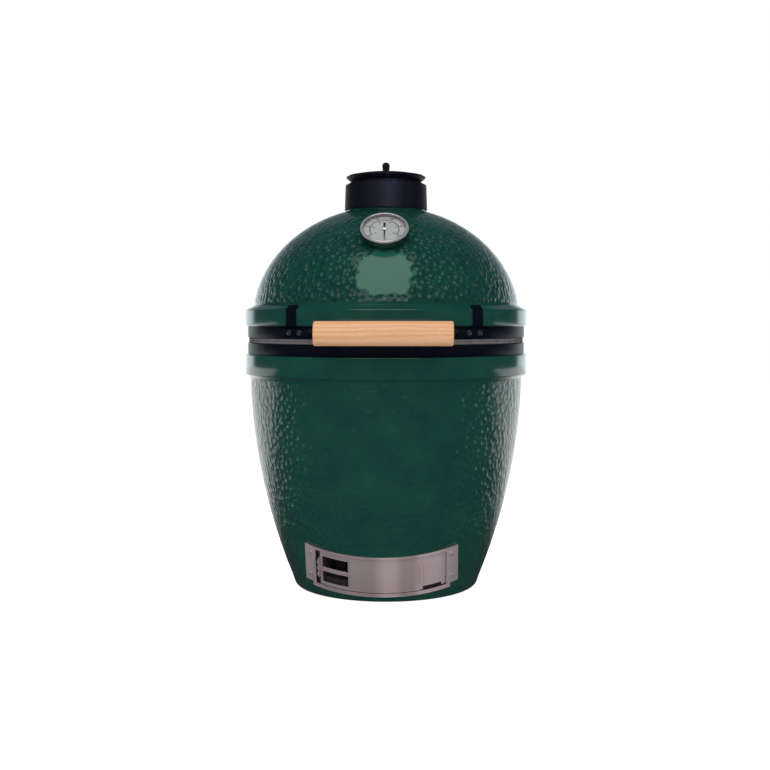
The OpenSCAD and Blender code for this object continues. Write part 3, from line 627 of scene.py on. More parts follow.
def dome_height(radius, inset=0.0):
    """Height at which the dome's oval has a radius."""
    across = radius / (SHELL.dome_a - inset)
    return SHELL.dome_z + (SHELL.dome_b - inset) * math.sqrt(1 - across ** 2)


def rim_points(low, high, soft):
    """The side of a thick rim between two heights, with rounded edges."""
    rim = SHELL.rim
    lower = arc_points(rim - soft, low + soft, soft, -90, 0, 6)
    return lower + arc_points(rim - soft, high - soft, soft, 0, 90, 6)


def base_outline():
    """Section of the base from the middle of the foot, over the rim and down the inside."""
    foot = SHELL.foot_round
    foot_centre = base_radius(foot) - foot
    lean = math.degrees(math.asin((SHELL.belly_z - foot) / SHELL.belly_arc))
    outer = arc_points(foot_centre, foot, foot, -90, -lean, 9)
    side_top = SHELL.base_rim_low - SHELL.rim_fillet
    heights = np.linspace(foot, side_top, SHELL.base_rings)[3:]
    outer += [(base_radius(z), float(z)) for z in heights]
    rim_low, rim_high = SHELL.base_rim_low, SHELL.base_rim_high
    outer += rim_points(rim_low, rim_high, SHELL.rim_soft)
    seat, top, edge = SHELL.seat, SHELL.base_top, SHELL.edge_soft
    outer += [(seat, rim_high)] + arc_points(seat - edge, top - edge, edge, 0, 90, 4)
    mouth = base_radius(SHELL.belly_z) - SHELL.wall
    inner = arc_points(mouth + edge, top - edge, edge, 90, 180, 4) + [(mouth, SHELL.belly_z)]
    for z in np.linspace(SHELL.belly_z, SHELL.floor, 16)[1:]:
        inner.append((base_radius(z) - SHELL.wall, float(z)))
    return [(0.0, 0.0), (foot_centre * 0.6, 0.0)] + outer + inner + [(0.0, SHELL.floor)]


def dome_outline():
    """Section of the dome: flat face, rim, oval, chimney and back down the inside."""
    seat, foot, edge = SHELL.seat, SHELL.dome_foot, SHELL.edge_soft
    mouth = base_radius(SHELL.belly_z) - SHELL.wall
    rim_low, rim_high = SHELL.dome_rim_low, SHELL.dome_rim_high
    soft = SHELL.rim_soft
    face = arc_points(mouth + edge, foot + edge, edge, 180, 270, 4)
    face += arc_points(seat - edge, foot + edge, edge, -90, 0, 4) + [(seat, rim_low)]
    rim = arc_points(SHELL.rim - soft, rim_low + soft, soft, -90, 0, 6)
    slope = SHELL.shoulder_slope
    rim += arc_points(SHELL.rim - soft, rim_high - slope, soft, 0, 50, 5)
    shoulder = SHELL.chimney_shoulder
    start, end = rim_high, dome_height(SHELL.chimney_foot)
    oval = []
    for turn in np.linspace(0, math.pi / 2, SHELL.dome_rings):
        z = start + (end - start) * (0.35 * turn * 2 / math.pi + 0.65 * math.sin(turn))
        oval.append((dome_radius(z), float(z)))
    chimney = [(SHELL.chimney_foot, shoulder), (SHELL.spigot, shoulder)]
    top = shoulder + SHELL.spigot_height
    chimney += [(SHELL.spigot, top), (SHELL.flue, top)]
    wall = SHELL.wall
    inner = []
    for turn in np.linspace(math.pi / 2, 0, 18):
        z = SHELL.dome_z + (dome_height(SHELL.flue, wall) - SHELL.dome_z) * math.sin(turn)
        inner.append((dome_radius(z, wall), float(z)))
    return face + rim + oval + chimney + inner


class Hollows:
    """Rows of cells all over a turned surface; each cell holds one shallow round hollow."""

    def __init__(self, outline_points, pitch, seed):
        radii, heights = np.array(outline_points).T
        steps = np.hypot(np.diff(radii), np.diff(heights))
        self.along = np.concatenate([[0.0], np.cumsum(steps)])
        self.heights = heights
        self.pitch = pitch
        self.row = pitch * math.sqrt(3) / 2
        rows = int(self.along[-1] / self.row) + 4
        middles = np.interp((np.arange(rows) - 1) * self.row, self.along, radii)
        self.count = np.maximum(3, np.round(2 * np.pi * middles / pitch)).astype(int)
        draw = np.random.default_rng(seed)
        shape = (rows, int(self.count.max()) + 1)
        self.jitter_turn = draw.uniform(-0.2, 0.2, shape)
        self.jitter_along = draw.uniform(-0.16, 0.16, shape) * pitch
        self.deep = draw.uniform(0.7, 1.15, shape)

    def depth(self, radius, height, angle, keep):
        """How deep each place is, 0 to about 1; keep(z, angle) says which cells hold a hollow."""
        order = np.argsort(self.heights)
        along = np.interp(height, self.heights[order], self.along[order])
        best = np.full(radius.shape, 9.0)
        deep = np.zeros(radius.shape)
        nearest_row = np.round(along / self.row).astype(int) + 1
        for row_step in (-1, 0, 1):
            row = np.clip(nearest_row + row_step, 0, len(self.count) - 1)
            count = self.count[row]
            shift = 0.5 * (row % 2)
            cell = np.round(angle / (2 * np.pi) * count - shift).astype(int)
            for cell_step in (-1, 0, 1):
                index = np.mod(cell + cell_step, count)
                turn = (index + shift + self.jitter_turn[row, index]) / count * 2 * np.pi
                away = np.mod(angle - turn + np.pi, 2 * np.pi) - np.pi
                place = (row - 1) * self.row + self.jitter_along[row, index]
                gap = np.hypot(away * radius, along - place) / (self.pitch * 0.56)
                middle_z = np.interp(place, self.along, self.heights)
                held = self.deep[row, index] * keep(middle_z, turn)
                nearer = gap < best
                best = np.where(nearer, gap, best)
                deep = np.where(nearer, held, deep)
        return deep * np.clip(1 - best ** 2, 0, 1)


def vectors(items, key):
    """One vector of every vertex or face, as an array."""
    values = np.empty(len(items) * 3)
    items.foreach_get(key, values)
    return values.reshape(-1, 3)


def coordinates(piece):
    return vectors(piece.data.vertices, "co")


def set_coordinates(piece, places):
    piece.data.vertices.foreach_set("co", np.ascontiguousarray(places).ravel())
    piece.data.update()


def mark_vertices(piece, name, values):
    """Keeps one value for each vertex, for the glaze to read."""
    piece.data.attributes.new(name, "FLOAT", "POINT").data.foreach_set("value", values)


def fade(value, start, end):
    """0 before start, 1 after end, and smooth between them."""
    share = np.clip((value - start) / (end - start), 0, 1)
    return share * share * (3 - 2 * share)


def dimple(piece, skin, hollows, depth, weight, keep, fine):
    """Presses the hollows into the outer skin; fine is how strongly the glaze shades more in."""
    places = coordinates(piece)
    outward = vectors(piece.data.vertices, "normal")
    radius = np.hypot(places[:, 0], places[:, 1])
    angle = np.mod(np.arctan2(places[:, 1], places[:, 0]), 2 * np.pi)
    deep = np.zeros(len(places))
    chosen = skin(places, radius)
    deep[chosen] = hollows.depth(
        radius[chosen], places[chosen, 2], angle[chosen], keep
    ) * weight(places[chosen], radius[chosen])
    places -= outward * (deep * depth)[:, None]
    set_coordinates(piece, places)
    mark = np.zeros(len(places))
    shown_here = keep(places[chosen, 2], angle[chosen])
    mark[chosen] = fine * weight(places[chosen], radius[chosen]) * shown_here
    mark_vertices(piece, "skin", mark)


# ---- The draft frame's own upright cylinder, which leans forward ----
DRAFT = SimpleNamespace(
    face=0.207, sheet=0.002, door_sheet=0.0016, gap=0.0003, half=43.4,
    window_half=36.0, top=0.0365, window_top=0.0315, window_low=-0.038,
    lip_low=-0.0445, lip_half=38.0, door_top=0.0335, door_low=-0.0372,
    door=(-33.4, 21.2), slots=(-31.9, -15.6), slot_rows=(0.0, -0.0305),
    slot_height=0.022, slide=(-17.0, 38.0), notch=(22.5, 33.5), notch_top=-0.0310,
    lug_reach=0.009, lug_height=0.040, lug_wave=0.0016, screw_half=39.4, screw_row=0.022,
    screw_radius=0.0046, screw_dome=0.0026, cross_turn=math.degrees(0.4), port_top=0.028,
    port_low=-0.020, port_half=31.0,
)


def sector(name, inner, outer, low, high, start, end, steps):
    """Part of a ring about Z between two angles, measured from the front to the right."""
    corners = [(inner, low), (outer, low), (outer, high), (inner, high)]
    return turned(name, corners, steps, sweep=end - start, start=start - 90)


def cut(piece, cutter):
    """Takes the cutter's shape out of the piece and removes the cutter."""
    apply_modifier(piece, "BOOLEAN", operation="DIFFERENCE", object=cutter, solver="EXACT")
    bpy.data.objects.remove(cutter)


def draft_cutter(name, inner, outer, low, high, half, steps=24):
    """A cutter on the draft frame's cylinder, in its place on the base."""
    piece = sector(name, inner, outer, low, high, -half, half, steps)
    place_mesh(piece, DRAFT_PLACE)
    return piece


def carried(places, matrix):
    """An array of places, carried by a matrix."""
    matrix = np.array(matrix)
    return places @ matrix[:3, :3].T + matrix[:3, 3]


def on_draft(places):
    """Places in the draft frame's own coordinates, and their angles from its front."""
    local = carried(places, DRAFT_PLACE.inverted())
    return local, np.degrees(np.arctan2(local[:, 0], -local[:, 1]))


def draft_pad(piece):
    """Swells the side of the base forward into the bed that the draft frame lies on."""
    places = coordinates(piece)
    inside = np.hypot(places[:, 0], places[:, 1]) < SHELL.body - 2 * SHELL.wall
    local, turn = on_draft(places)
    radius = np.hypot(local[:, 0], local[:, 1])
    share = 1 - fade(np.abs(turn), DRAFT.half + 0.5, DRAFT.half + 3.5)
    share *= 1 - fade(local[:, 2], DRAFT.top + 0.001, DRAFT.top + 0.011)
    share *= fade(local[:, 2], DRAFT.lip_low - 0.009, DRAFT.lip_low - 0.001)
    outer = np.hypot(places[:, 0], places[:, 1]) > [
        base_radius(min(max(z, SHELL.foot_round), SHELL.base_top)) - SHELL.foot_round
        for z in places[:, 2]
    ]
    share *= outer & ~(inside & (places[:, 2] > 0.15)) & (local[:, 1] < 0)
    bed = DRAFT.face - DRAFT.sheet - DRAFT.gap
    grown = np.where(share > 0, radius + share * (bed - radius), radius)
    local[:, :2] *= (grown / np.maximum(radius, 1e-9))[:, None]
    set_coordinates(piece, carried(local, DRAFT_PLACE))


def everywhere(z, turn):
    """Every cell of the base holds a hollow."""
    return np.ones_like(z)


def base_shell():
    """The glazed base with its bed, door channel and air port."""
    sizes = bpy.context.scene.grill_sizes
    section = base_outline()
    piece = turned("Base", section, sizes.shell_steps, closed=False)
    draft_pad(piece)
    bed = DRAFT.face - DRAFT.sheet
    channel = bed - 2 * DRAFT.door_sheet - 3 * DRAFT.gap
    cut(piece, draft_cutter(
        "Channel", channel, bed + 0.02, DRAFT.door_low - 0.0015, DRAFT.door_top + 0.001,
        DRAFT.window_half + 2.2, 48,
    ))
    cut(piece, draft_cutter(
        "Port", bed - 0.06, bed + 0.01, DRAFT.port_low, DRAFT.port_top, DRAFT.port_half
    ))
    side = [p for p in section if SHELL.foot_round * 0.3 < p[1] < SHELL.base_rim_low]
    hollows = Hollows(side[: SHELL.base_rings], sizes.dimple_pitch, sizes.seed)

    def skin(places, radius):
        limit = np.array([base_radius(max(z, SHELL.foot_round)) for z in places[:, 2]])
        low_rim = places[:, 2] < SHELL.base_rim_low - 0.001
        return low_rim & (radius > limit - 0.004) & (places[:, 2] > 0.004)

    def weight(places, radius):
        local, turn = on_draft(places)
        by_frame = 1 - fade(np.abs(turn), DRAFT.half + 1.5, DRAFT.half + 5)
        by_frame *= 1 - fade(local[:, 2], DRAFT.top + 0.003, DRAFT.top + 0.014)
        by_frame *= local[:, 1] < 0
        rim = 1 - fade(places[:, 2], SHELL.base_rim_low - 0.012, SHELL.base_rim_low - 0.004)
        return (1 - by_frame) * rim * fade(places[:, 2], 0.005, 0.016)

    dimple(piece, skin, hollows, sizes.dimple_depth, weight, everywhere, fine=0.55)
    return piece


def badge_test():
    """Says whether a place on the dome is in the smooth patch under the thermometer."""
    tree = surface(frame["nodes"]["dome_shell"])
    middle = tree.ray_cast(*ray(*POINTS["badge_middle"]))[0]
    sizes = bpy.context.scene.grill_sizes
    turn_middle = math.atan2(middle.y, middle.x)
    radius = math.hypot(middle.x, middle.y)
    steep = abs((dome_radius(middle.z + MM) - dome_radius(middle.z - MM)) / (2 * MM))
    slope = math.hypot(1, steep)

    def free(z, turn):
        across = np.mod(turn - turn_middle + np.pi, 2 * np.pi) - np.pi
        wide = across * radius / (sizes.badge_width / 2)
        high = (z - middle.z) * slope / (sizes.badge_height / 2)
        turn = np.arctan2(high, wide)
        scallops = 0.92 + 0.13 * np.cos(13 * turn + 0.6) + 0.09 * np.cos(7 * turn)
        return (np.abs(wide) ** 2.6 + np.abs(high) ** 2.6 > scallops).astype(float)

    return free


def dome_shell():
    """The glazed dome with its rim, chimney and smooth badge patch."""
    sizes = bpy.context.scene.grill_sizes
    section = dome_outline()
    piece = turned("Dome", section, sizes.shell_steps, closed=True)
    start = max(i for i, p in enumerate(section[:60]) if p[0] >= SHELL.rim - 0.012)
    outer = section[start + 1: start + SHELL.dome_rings]
    hollows = Hollows(outer, sizes.dimple_pitch, sizes.seed + 1)
    low = outer[0][1]

    def skin(places, radius):
        limit = np.array([dome_radius(max(z, SHELL.dome_z)) for z in places[:, 2]])
        return (places[:, 2] > low) & (radius > limit - 0.003) & (
            places[:, 2] < SHELL.chimney_shoulder - 0.0005
        )

    def weight(places, radius):
        foot = fade(radius, SHELL.chimney_foot + 0.004, SHELL.chimney_foot + 0.012)
        return foot * fade(places[:, 2], low + 0.002, low + 0.010)

    free = badge_test()
    dimple(piece, skin, hollows, sizes.dimple_depth, weight, free, fine=1.0)
    places = coordinates(piece)
    bare = 1 - free(places[:, 2], np.arctan2(places[:, 1], places[:, 0]))
    mark_vertices(piece, "badge", bare)
    return piece


def add_second(piece, material, test):
    """Gives the faces that test picks a second material."""
    piece.data.materials.append(material)
    centres = vectors(piece.data.polygons, "center")
    index = np.array([1 if test(c) else 0 for c in centres], dtype=np.int32)
    piece.data.polygons.foreach_set("material_index", index)
    piece.data.update()


# ---- Stage ----
def world_light():
    """A room that is white to the camera, bright behind the grill and dark before it in mirrors."""
    world = bpy.context.scene.world or bpy.data.worlds.new("World")
    bpy.context.scene.world = world
    world.use_nodes = True
    sh = Shader.__new__(Shader)
    sh.tree = world.node_tree
    sh.tree.nodes.clear()
    towards = sh.node("ShaderNodeTexCoord", out="Generated")
    depth = sh.part(towards, "Y") * 0.5 + 0.5
    behind = sh.ramp(
        depth, (0.0, (0.02, 0.02, 0.022)), (0.69, (0.03, 0.03, 0.032)),
        (0.82, (0.05, 0.07, 0.08)), (0.87, (0.86, 0.97, 1.0)),
    )
    overhead = sh.ramp(
        sh.part(towards, "Z") * 0.5 + 0.5, (0.52, (1, 1, 1)), (0.66, (0.12, 0.13, 0.14))
    )
    behind = sh.vector("SCALE", behind, Scale=STAGE.back_glow)
    behind = sh.vector("MULTIPLY", behind, overhead)
    front = sh.ramp(depth, (0.05, (2.0, 1.97, 1.92)), (0.45, (0.16, 0.22, 0.30)))
    front = sh.vector("SCALE", front, Scale=STAGE.fill)
    plain = sh.blend(sh.node("ShaderNodeLightPath", out="Is Glossy Ray"), front, behind)
    tint = sh.blend(sh.node("ShaderNodeLightPath", out="Is Camera Ray"), plain, (1, 1, 1))
    background = sh.node("ShaderNodeBackground", Color=tint, Strength=1.0)
    sh.node("ShaderNodeOutputWorld", Surface=background, out=None)


def soft_box(name, place, aim, width, height, power):
    """A rectangular area light that looks at aim."""
    deselect()
    bpy.ops.object.light_add(type="AREA", location=place)
    light = bpy.context.object
    light.name = name
    light.data.shape = "RECTANGLE"
    light.data.size, light.data.size_y, light.data.energy = width, height, power
    light.rotation_euler = (Vector(aim) - Vector(place)).to_track_quat("-Z", "Y").to_euler()
    return light


def floor_material():
    """A floor that shows white to the camera, and in the glaze dark before the grill."""
    sh = Shader("Pale_floor")
    cloud = sh.noise(sh.place(), 2.0, 2.0, 0.5)
    seen = sh.node("ShaderNodeLightPath", out="Is Camera Ray")
    material = sh.finish(
        Base_Color=sh.blend(cloud, (0.90, 0.90, 0.90), (0.91, 0.91, 0.91)), Roughness=0.9,
        Specular_IOR_Level=0.0, Emission_Strength=1.0,
        Emission_Color=sh.blend(seen, (STAGE.floor_glow,) * 3, (STAGE.floor_seen,) * 3),
    )
    mirrored = sh.node("ShaderNodeEmission", Color=sh.ramp(
        sh.part(sh.place(), "Y") * 0.25 + 0.5, (0.30, (0.02, 0.021, 0.023)),
        (0.54, (0.03, 0.034, 0.038)), (0.72, (0.9, 0.92, 0.92)),
    ))
    glossy = sh.node("ShaderNodeLightPath", out="Is Glossy Ray")
    lit = Socket(sh, sh.bsdf.outputs[0])
    output = next(item for item in sh.tree.nodes if item.type == "OUTPUT_MATERIAL")
    sh.feed(output.inputs["Surface"], sh.node("ShaderNodeMixShader", None, glossy, lit, mirrored))
    return material


STAGE = SimpleNamespace(
    floor_glow=0.09, floor_seen=0.86, floor_size=14.0, back_glow=1.2, fill=0.62
)


class GRILL_OT_stage(bpy.types.Operator):
    """Adds the floor, the lights, the white room and the camera"""

    bl_idname = "grill.stage"
    bl_label = "Stage"

    def execute(self, context):
        scene = context.scene
        scene.view_settings.view_transform = "Standard"
        make_camera()
        world_light()
        deselect()
        bpy.ops.mesh.primitive_plane_add(size=STAGE.floor_size)
        floor = take("Floor")
        floor.data.materials.append(floor_material())
        boxes = (
            soft_box("Front_box", (-0.05, -1.70, 2.45), (0, -0.1, 0.6), 1.9, 2.4, 13),
            soft_box("Left_box", (-2.2, -0.7, 1.5), (0, 0, 0.4), 0.8, 1.6, 4),
            soft_box("Right_box", (2.2, -0.5, 1.6), (0, 0, 0.4), 0.8, 1.6, 4),
            soft_box("Top_box", (0, 0.4, 2.9), (0, 0, 0.5), 1.8, 1.8, 16),
        )
        # Only the front box shows in the glaze
        for box in boxes[1:]:
            box.visible_glossy = False
        return {"FINISHED"}


class GRILL_OT_shells(bpy.types.Operator):
    """Turns and glazes the ceramic base and dome"""

    bl_idname = "grill.shells"
    bl_label = "Ceramic shells"

    def execute(self, context):
        glaze_material()
        colours = context.scene.grill_colours
        clay = clay_material("Bare_clay", colours.clay, colours.clay_dark, 0.22)
        base = base_shell()
        dress(base, "Green_glaze", "base", "base_shell", slot="glaze")
        into = DRAFT_PLACE.inverted()
        add_second(base, clay, lambda c: is_inside_base(c) or is_port(into @ Vector(c)))
        dome = dome_shell()
        dress(dome, "Green_glaze", "dome", "dome_shell", slot="glaze")
        add_second(dome, clay, is_inside_dome)
        for piece in (base, dome):
            smooth(piece, 50)
        return {"FINISHED"}


def is_port(place):
    """The faces behind the draft doors, in the draft frame's own coordinates."""
    turn = math.degrees(math.atan2(place.x, -place.y))
    if abs(turn) > DRAFT.window_half + 3 or place.y > 0:
        return False
    level = DRAFT.door_low - 0.002 < place.z < DRAFT.door_top + 0.002
    return level and math.hypot(place.x, place.y) < DRAFT.face - DRAFT.sheet + 0.0005


def is_inside_base(centre):
    """The faces of the base that the glaze doesn't reach: hollow, flat top and foot."""
    radius = math.hypot(*centre[:2])
    top = SHELL.base_top
    height = min(max(centre[2], SHELL.foot_round), top)
    if centre[2] > top - 0.0002 or centre[2] < 0.0002:
        return True
    return radius < min(base_radius(height), SHELL.seat) - 0.010


def is_inside_dome(centre):
    """The faces of the dome that the glaze doesn't reach: flat foot, hollow and flue."""
    radius = math.hypot(*centre[:2])
    if centre[2] < SHELL.dome_foot + 0.0002:
        return True
    if centre[2] < SHELL.dome_z:
        return radius < SHELL.seat - 0.010
    if centre[2] > SHELL.chimney_shoulder - 0.001:
        return radius < SHELL.chimney_foot - 0.004
    return radius < dome_radius(centre[2]) - 0.012


# ---- Finishes of the CAD nodes that are shown as they are ----
def finish_nodes(material, *nodes):
    for node in nodes:
        piece = frame["nodes"][node]
        piece.data.materials.clear()
        piece.data.materials.append(material)
        if piece.name in bpy.context.view_layer.objects:
            smooth(piece, 30)


# Painted reflection: lighter and darker upright bands across the draft frame, door and slide,
# standing in for the steel's reflections of the room.
DRAFT_PAINTED_REFLECTION = (0.29, (
    (0.0, 1.12), (0.115, 0.9), (0.3, 0.98), (0.43, 0.92), (0.5, 1.4), (0.57, 1.36),
    (0.61, 1.0), (0.68, 1.0), (0.73, 1.5), (0.84, 1.42), (0.94, 1.08), (1.0, 1.0),
))
# Painted highlight: a soft upright light band across the middle of the vent collar.
COLLAR_PAINTED_HIGHLIGHT = (0.16, (
    (0.0, 0.5), (0.2, 0.6), (0.42, 1.0), (0.52, 2.0), (0.6, 1.9), (0.7, 0.8), (1.0, 0.5),
))


class GRILL_OT_finishes(bpy.types.Operator):
    """Gives each part that is shown as the frame has it its own finish"""

    bl_idname = "grill.finishes"
    bl_label = "Finishes"

    def execute(self, context):
        look = context.scene.grill_colours
        coat, metal = coated_material, metal_material
        black, worn, steel, dull = look.black, look.black_worn, look.steel, look.steel_dark
        brushed = {"rough": 0.24, "brushed": (1, 1, 26), "metallic": 0.42}
        finishes = (
            (coat("Black_coat", black, 0.24, worn, specular=0.15), (
                "base_band", "dome_band", "dome_clip_left", "dome_clip_right",
                "handle_bracket_left", "handle_bracket_right", "lower_hinge_bracket",
                "upper_hinge_bracket", "thermometer_seat", "handle_rod", "handle_spacers",
                "handle_nuts",
            )),
            (coat("Cast_black", black, 0.42, worn, 480.0, 0.35), ("vent_disc", "daisy_wheel")),
            (metal("Stainless", steel, dull, **brushed), (
                "draft_frame", "draft_door", "draft_slide", "cooking_grid", "thermometer_case",
            )),
            (metal("Zinc_plate", (0.62, 0.61, 0.58), (0.45, 0.43, 0.38), 0.32), (
                "lower_hinge_bolts", "upper_hinge_bolts", "hinge_pin", "hinge_pin_clip",
                "hinge_sleeve", "vent_pivot_screw", "daisy_screw", "hinge_spring_left",
                "hinge_spring_right", "thermometer_stem", "thermometer_nut",
            )),
            (metal("Bush_brass", (0.74, 0.54, 0.24), (0.50, 0.34, 0.13), 0.3), ("hinge_bushes",)),
            # The draft steel carries a painted reflection: lighter and darker bands across its X.
            (metal("Draft_steel_painted_reflection", steel, dull, **brushed, sheen=DRAFT_PAINTED_REFLECTION), ()),
            # The collar's black carries a painted highlight down its middle.
            (coat(
                "Collar_black_painted_highlight", (0.011, 0.011, 0.024), 0.4, (0.014, 0.013, 0.028),
                sheen=COLLAR_PAINTED_HIGHLIGHT,
            ), ("vent_collar",)),
            (metal(
                "Chrome", (0.86, 0.87, 0.88), (0.78, 0.79, 0.80), 0.06, depth=0.02, metallic=0.7
            ), ("thermometer_bezel", "draft_screws")),
            (coat(
                "Grate_iron", (0.055, 0.052, 0.05), 0.62, (0.11, 0.095, 0.085), 300, 0.6
            ), ("fire_grate",)),
            (clay_material(
                "Fire_clay", (0.50, 0.40, 0.29), (0.33, 0.25, 0.17), 0.22
            ), ("fire_box", "fire_ring")),
            (coat(
                "Knob_black", (0.010, 0.010, 0.011), 0.3, (0.018, 0.018, 0.02)
            ), ("vent_knob", "thermometer_pointer")),
            (coat(
                "Rivet_black", (0.03, 0.03, 0.042), 0.12, (0.06, 0.06, 0.07), specular=0.5
            ), ("handle_rivets",)),
            (felt_material(), ("base_gasket", "dome_gasket", "chimney_gasket")),
            (beech_material(), ("handle_grip",)),
            (glass_material(), ("thermometer_lens",)),
            (coat("Dial_face", look.dial, 0.5, look.dial), ("thermometer_dial",)),
            (coat("Dial_marks", (0.035, 0.035, 0.04), 0.5, (0.06, 0.06, 0.065)), ()),
            (coat("Pointer_black", (0.006, 0.006, 0.008), 0.4, (0.01, 0.01, 0.012)), ()),
        )
        for material, nodes in finishes:
            finish_nodes(material, *nodes)
        return {"FINISHED"}


# ---- Draft frame, doors and screws ----
def plate(name, corners, thickness, bevel):
    """A flat plate in the XZ plane, cut to an outline, with rounded edges."""
    piece = outline(name, corners + [corners[0]])
    weld(piece)
    bpy.ops.mesh.select_all(action="SELECT")
    bpy.ops.mesh.edge_face_add()
    bpy.ops.object.mode_set(mode="OBJECT")
    apply_modifier(piece, "SOLIDIFY", thickness=thickness, offset=0)
    return soften(piece, bevel)


def join(first, *others):
    """Joins finished pieces into the first one."""
    select_only(first)
    for other in others:
        other.select_set(True)
    bpy.ops.object.join()
    return first


def draft_sheet(name, outer, sheet, low, high, start, end, holes, steps=72):
    """A curved sheet on the draft frame's cylinder with holes (low, high, start, end) in it."""
    piece = sector(name, outer - sheet, outer, low, high, start, end, steps)
    for hole in holes:
        steps_across = max(8, int(abs(hole[3] - hole[2])))
        cut(piece, sector("Cutter", outer - sheet - 0.004, outer + 0.004, *hole, steps_across))
    return soften(piece, 0.00045, 2, 25)


def lug(name, inner, angle):
    """A finger lug bent out of the end of a door, with a waved outer edge."""
    reach, half = DRAFT.face + DRAFT.lug_reach, DRAFT.lug_height / 2
    corners = [(inner, -half), (reach - 0.003, -half)]
    for step in np.linspace(-1, 1, 25):
        wave = DRAFT.lug_wave * (math.cos(3 * math.pi * step) - 1)
        corners.append((float(reach + wave - 0.002 * step ** 6), float(step) * half * 0.97))
    corners += [(reach - 0.003, half), (inner, half)]
    piece = plate(name, corners, DRAFT.door_sheet, 0.0004)
    turn_mesh(piece, angle - 90)
    return piece


def draft_pieces():
    """The screwed frame, the slotted front door, the plain slide and the four screws."""
    face, sheet, gap = DRAFT.face, DRAFT.sheet, DRAFT.gap
    low, foot, top = DRAFT.lip_low, -DRAFT.top, DRAFT.top
    wide, half = DRAFT.lip_half, DRAFT.half
    holes = [
        (DRAFT.window_low, DRAFT.window_top, -DRAFT.window_half, DRAFT.window_half),
        (low - 0.002, foot, wide, half + 1), (low - 0.002, foot, -half - 1, -wide),
    ]
    plate_piece = draft_sheet("Draft_frame", face, sheet, low, top, -half, half, holes, 96)
    bead = sector("Lip", face - 0.0006, face + 0.0012, low + 0.0004, low + 0.0018, -wide, wide, 80)
    soften(bead, 0.0006)
    rail = sector(
        "Rail", face - 0.0006, face + 0.0009, DRAFT.window_low - 0.0014,
        DRAFT.window_low - 0.0002, -DRAFT.window_half, DRAFT.window_half, 80,
    )
    soften(rail, 0.0005)
    join(plate_piece, bead, rail)
    place_mesh(plate_piece, DRAFT_PLACE)
    dress(plate_piece, "Draft_steel_painted_reflection", "base", "draft_frame", slot="stainless")

    outer = face - sheet - gap
    slots = [(row, row + DRAFT.slot_height, *DRAFT.slots) for row in DRAFT.slot_rows]
    door = draft_sheet(
        "Draft_door", outer, DRAFT.door_sheet, DRAFT.door_low, DRAFT.door_top,
        *DRAFT.door, slots, 80,
    )
    inner = outer - DRAFT.door_sheet
    join(door, lug("Left_lug", inner, DRAFT.door[0] + 0.6),
         lug("Right_lug", inner, DRAFT.door[1] - 0.4))
    place_mesh(door, DRAFT_PLACE)
    dress(door, "Draft_steel_painted_reflection", "draft_door", "draft_door", slot="stainless")

    outer = inner - gap
    slide = draft_sheet(
        "Draft_slide", outer, DRAFT.door_sheet, DRAFT.door_low, DRAFT.door_top,
        *DRAFT.slide, [(DRAFT.door_low - 0.002, DRAFT.notch_top, *DRAFT.notch)], 55,
    )
    place_mesh(slide, DRAFT_PLACE)
    dress(slide, "Draft_steel_painted_reflection", "draft_slide", "draft_slide", slot="stainless")
    screws = [
        pan_screw(side * DRAFT.screw_half, row)
        for side in (-1, 1) for row in (-DRAFT.screw_row, DRAFT.screw_row)
    ]
    screws = join(screws[0], *screws[1:])
    screws.name = "Draft_screws"
    place_mesh(screws, DRAFT_PLACE)
    dress(screws, "Chrome", "base", "draft_screws", slot="stainless")


def pan_screw(angle, row):
    """A domed screw head with a cross cut in it, on the face of the draft frame."""
    radius, high = DRAFT.screw_radius, DRAFT.screw_dome
    dome = [(radius * math.cos(a), high * math.sin(a)) for a in np.linspace(0, math.pi / 2, 9)]
    head = turned("Screw", [(0.0, -0.004), (radius * 0.5, -0.004), (radius * 0.5, 0.0)] + dome, 28,
                  closed=False)
    for quarter in range(2):
        deselect()
        bpy.ops.mesh.primitive_cube_add(size=1)
        bar = take("Cross")
        bar.scale = (radius * 1.1, radius * 0.22, high)
        apply_place(bar)
        turn_mesh(bar, 90 * quarter + DRAFT.cross_turn)
        move_mesh(bar, 0, 0, high)
        cut(head, bar)
    smooth(head, 40)
    turn_mesh(head, 90, "Y")
    move_mesh(head, DRAFT.face, 0, row)
    turn_mesh(head, angle - 90)
    return head


class GRILL_OT_draft(bpy.types.Operator):
    """Rolls the draft frame, its two doors and their lugs, and adds the screws"""

    bl_idname = "grill.draft"
    bl_label = "Draft door"

    def execute(self, context):
        draft_pieces()
        return {"FINISHED"}


# ---- Thermometer: built flat about Z, then moved onto the pointer's axis ----
DIAL = SimpleNamespace(
    rim=0.0436, case=0.0387, low=0.007, top=0.021, face=0.014, ring=0.0262,
    start=215.0, sweep=250.0, marks=25, plate_bore=0.0033, plate=0.0375,
    plate_top=0.0148, print_low=0.01474, print_top=0.01486, line=(0.0361, 0.0364),
    number_rings=(0.0318, 0.0204), number_heights=(0.0056, 0.0050),
    number_extrude=0.00006, tip=0.033, tail=0.018, hub=0.0034, side_edge=0.0168,
)


def dial_bezel():
    """The bezel: a rolled ring with a soft outer edge and a sharp inner lip."""
    rim, low, top = DIAL.rim, DIAL.low, DIAL.top
    points = [(DIAL.case, low), (rim - 0.0016, low), (rim - 0.0004, low + 0.0006)]
    points += [(rim, low + 0.0018)]
    points += arc_points(rim - 0.0035, top - 0.0035, 0.0035, 0, 118, 14)
    points += [(DIAL.case, top - 0.0010)]
    return turned("Thermometer_bezel", points, 160)


def dial_bar(inner, outer, width, angle):
    """One thin printed mark on the dial, lying along a radius."""
    deselect()
    bpy.ops.mesh.primitive_cube_add(size=1)
    bar = take("Mark")
    bar.scale = (outer - inner, width, 0.00012)
    bar.location = ((outer + inner) / 2, 0, DIAL.plate_top)
    apply_place(bar)
    turn_mesh(bar, angle)
    return bar


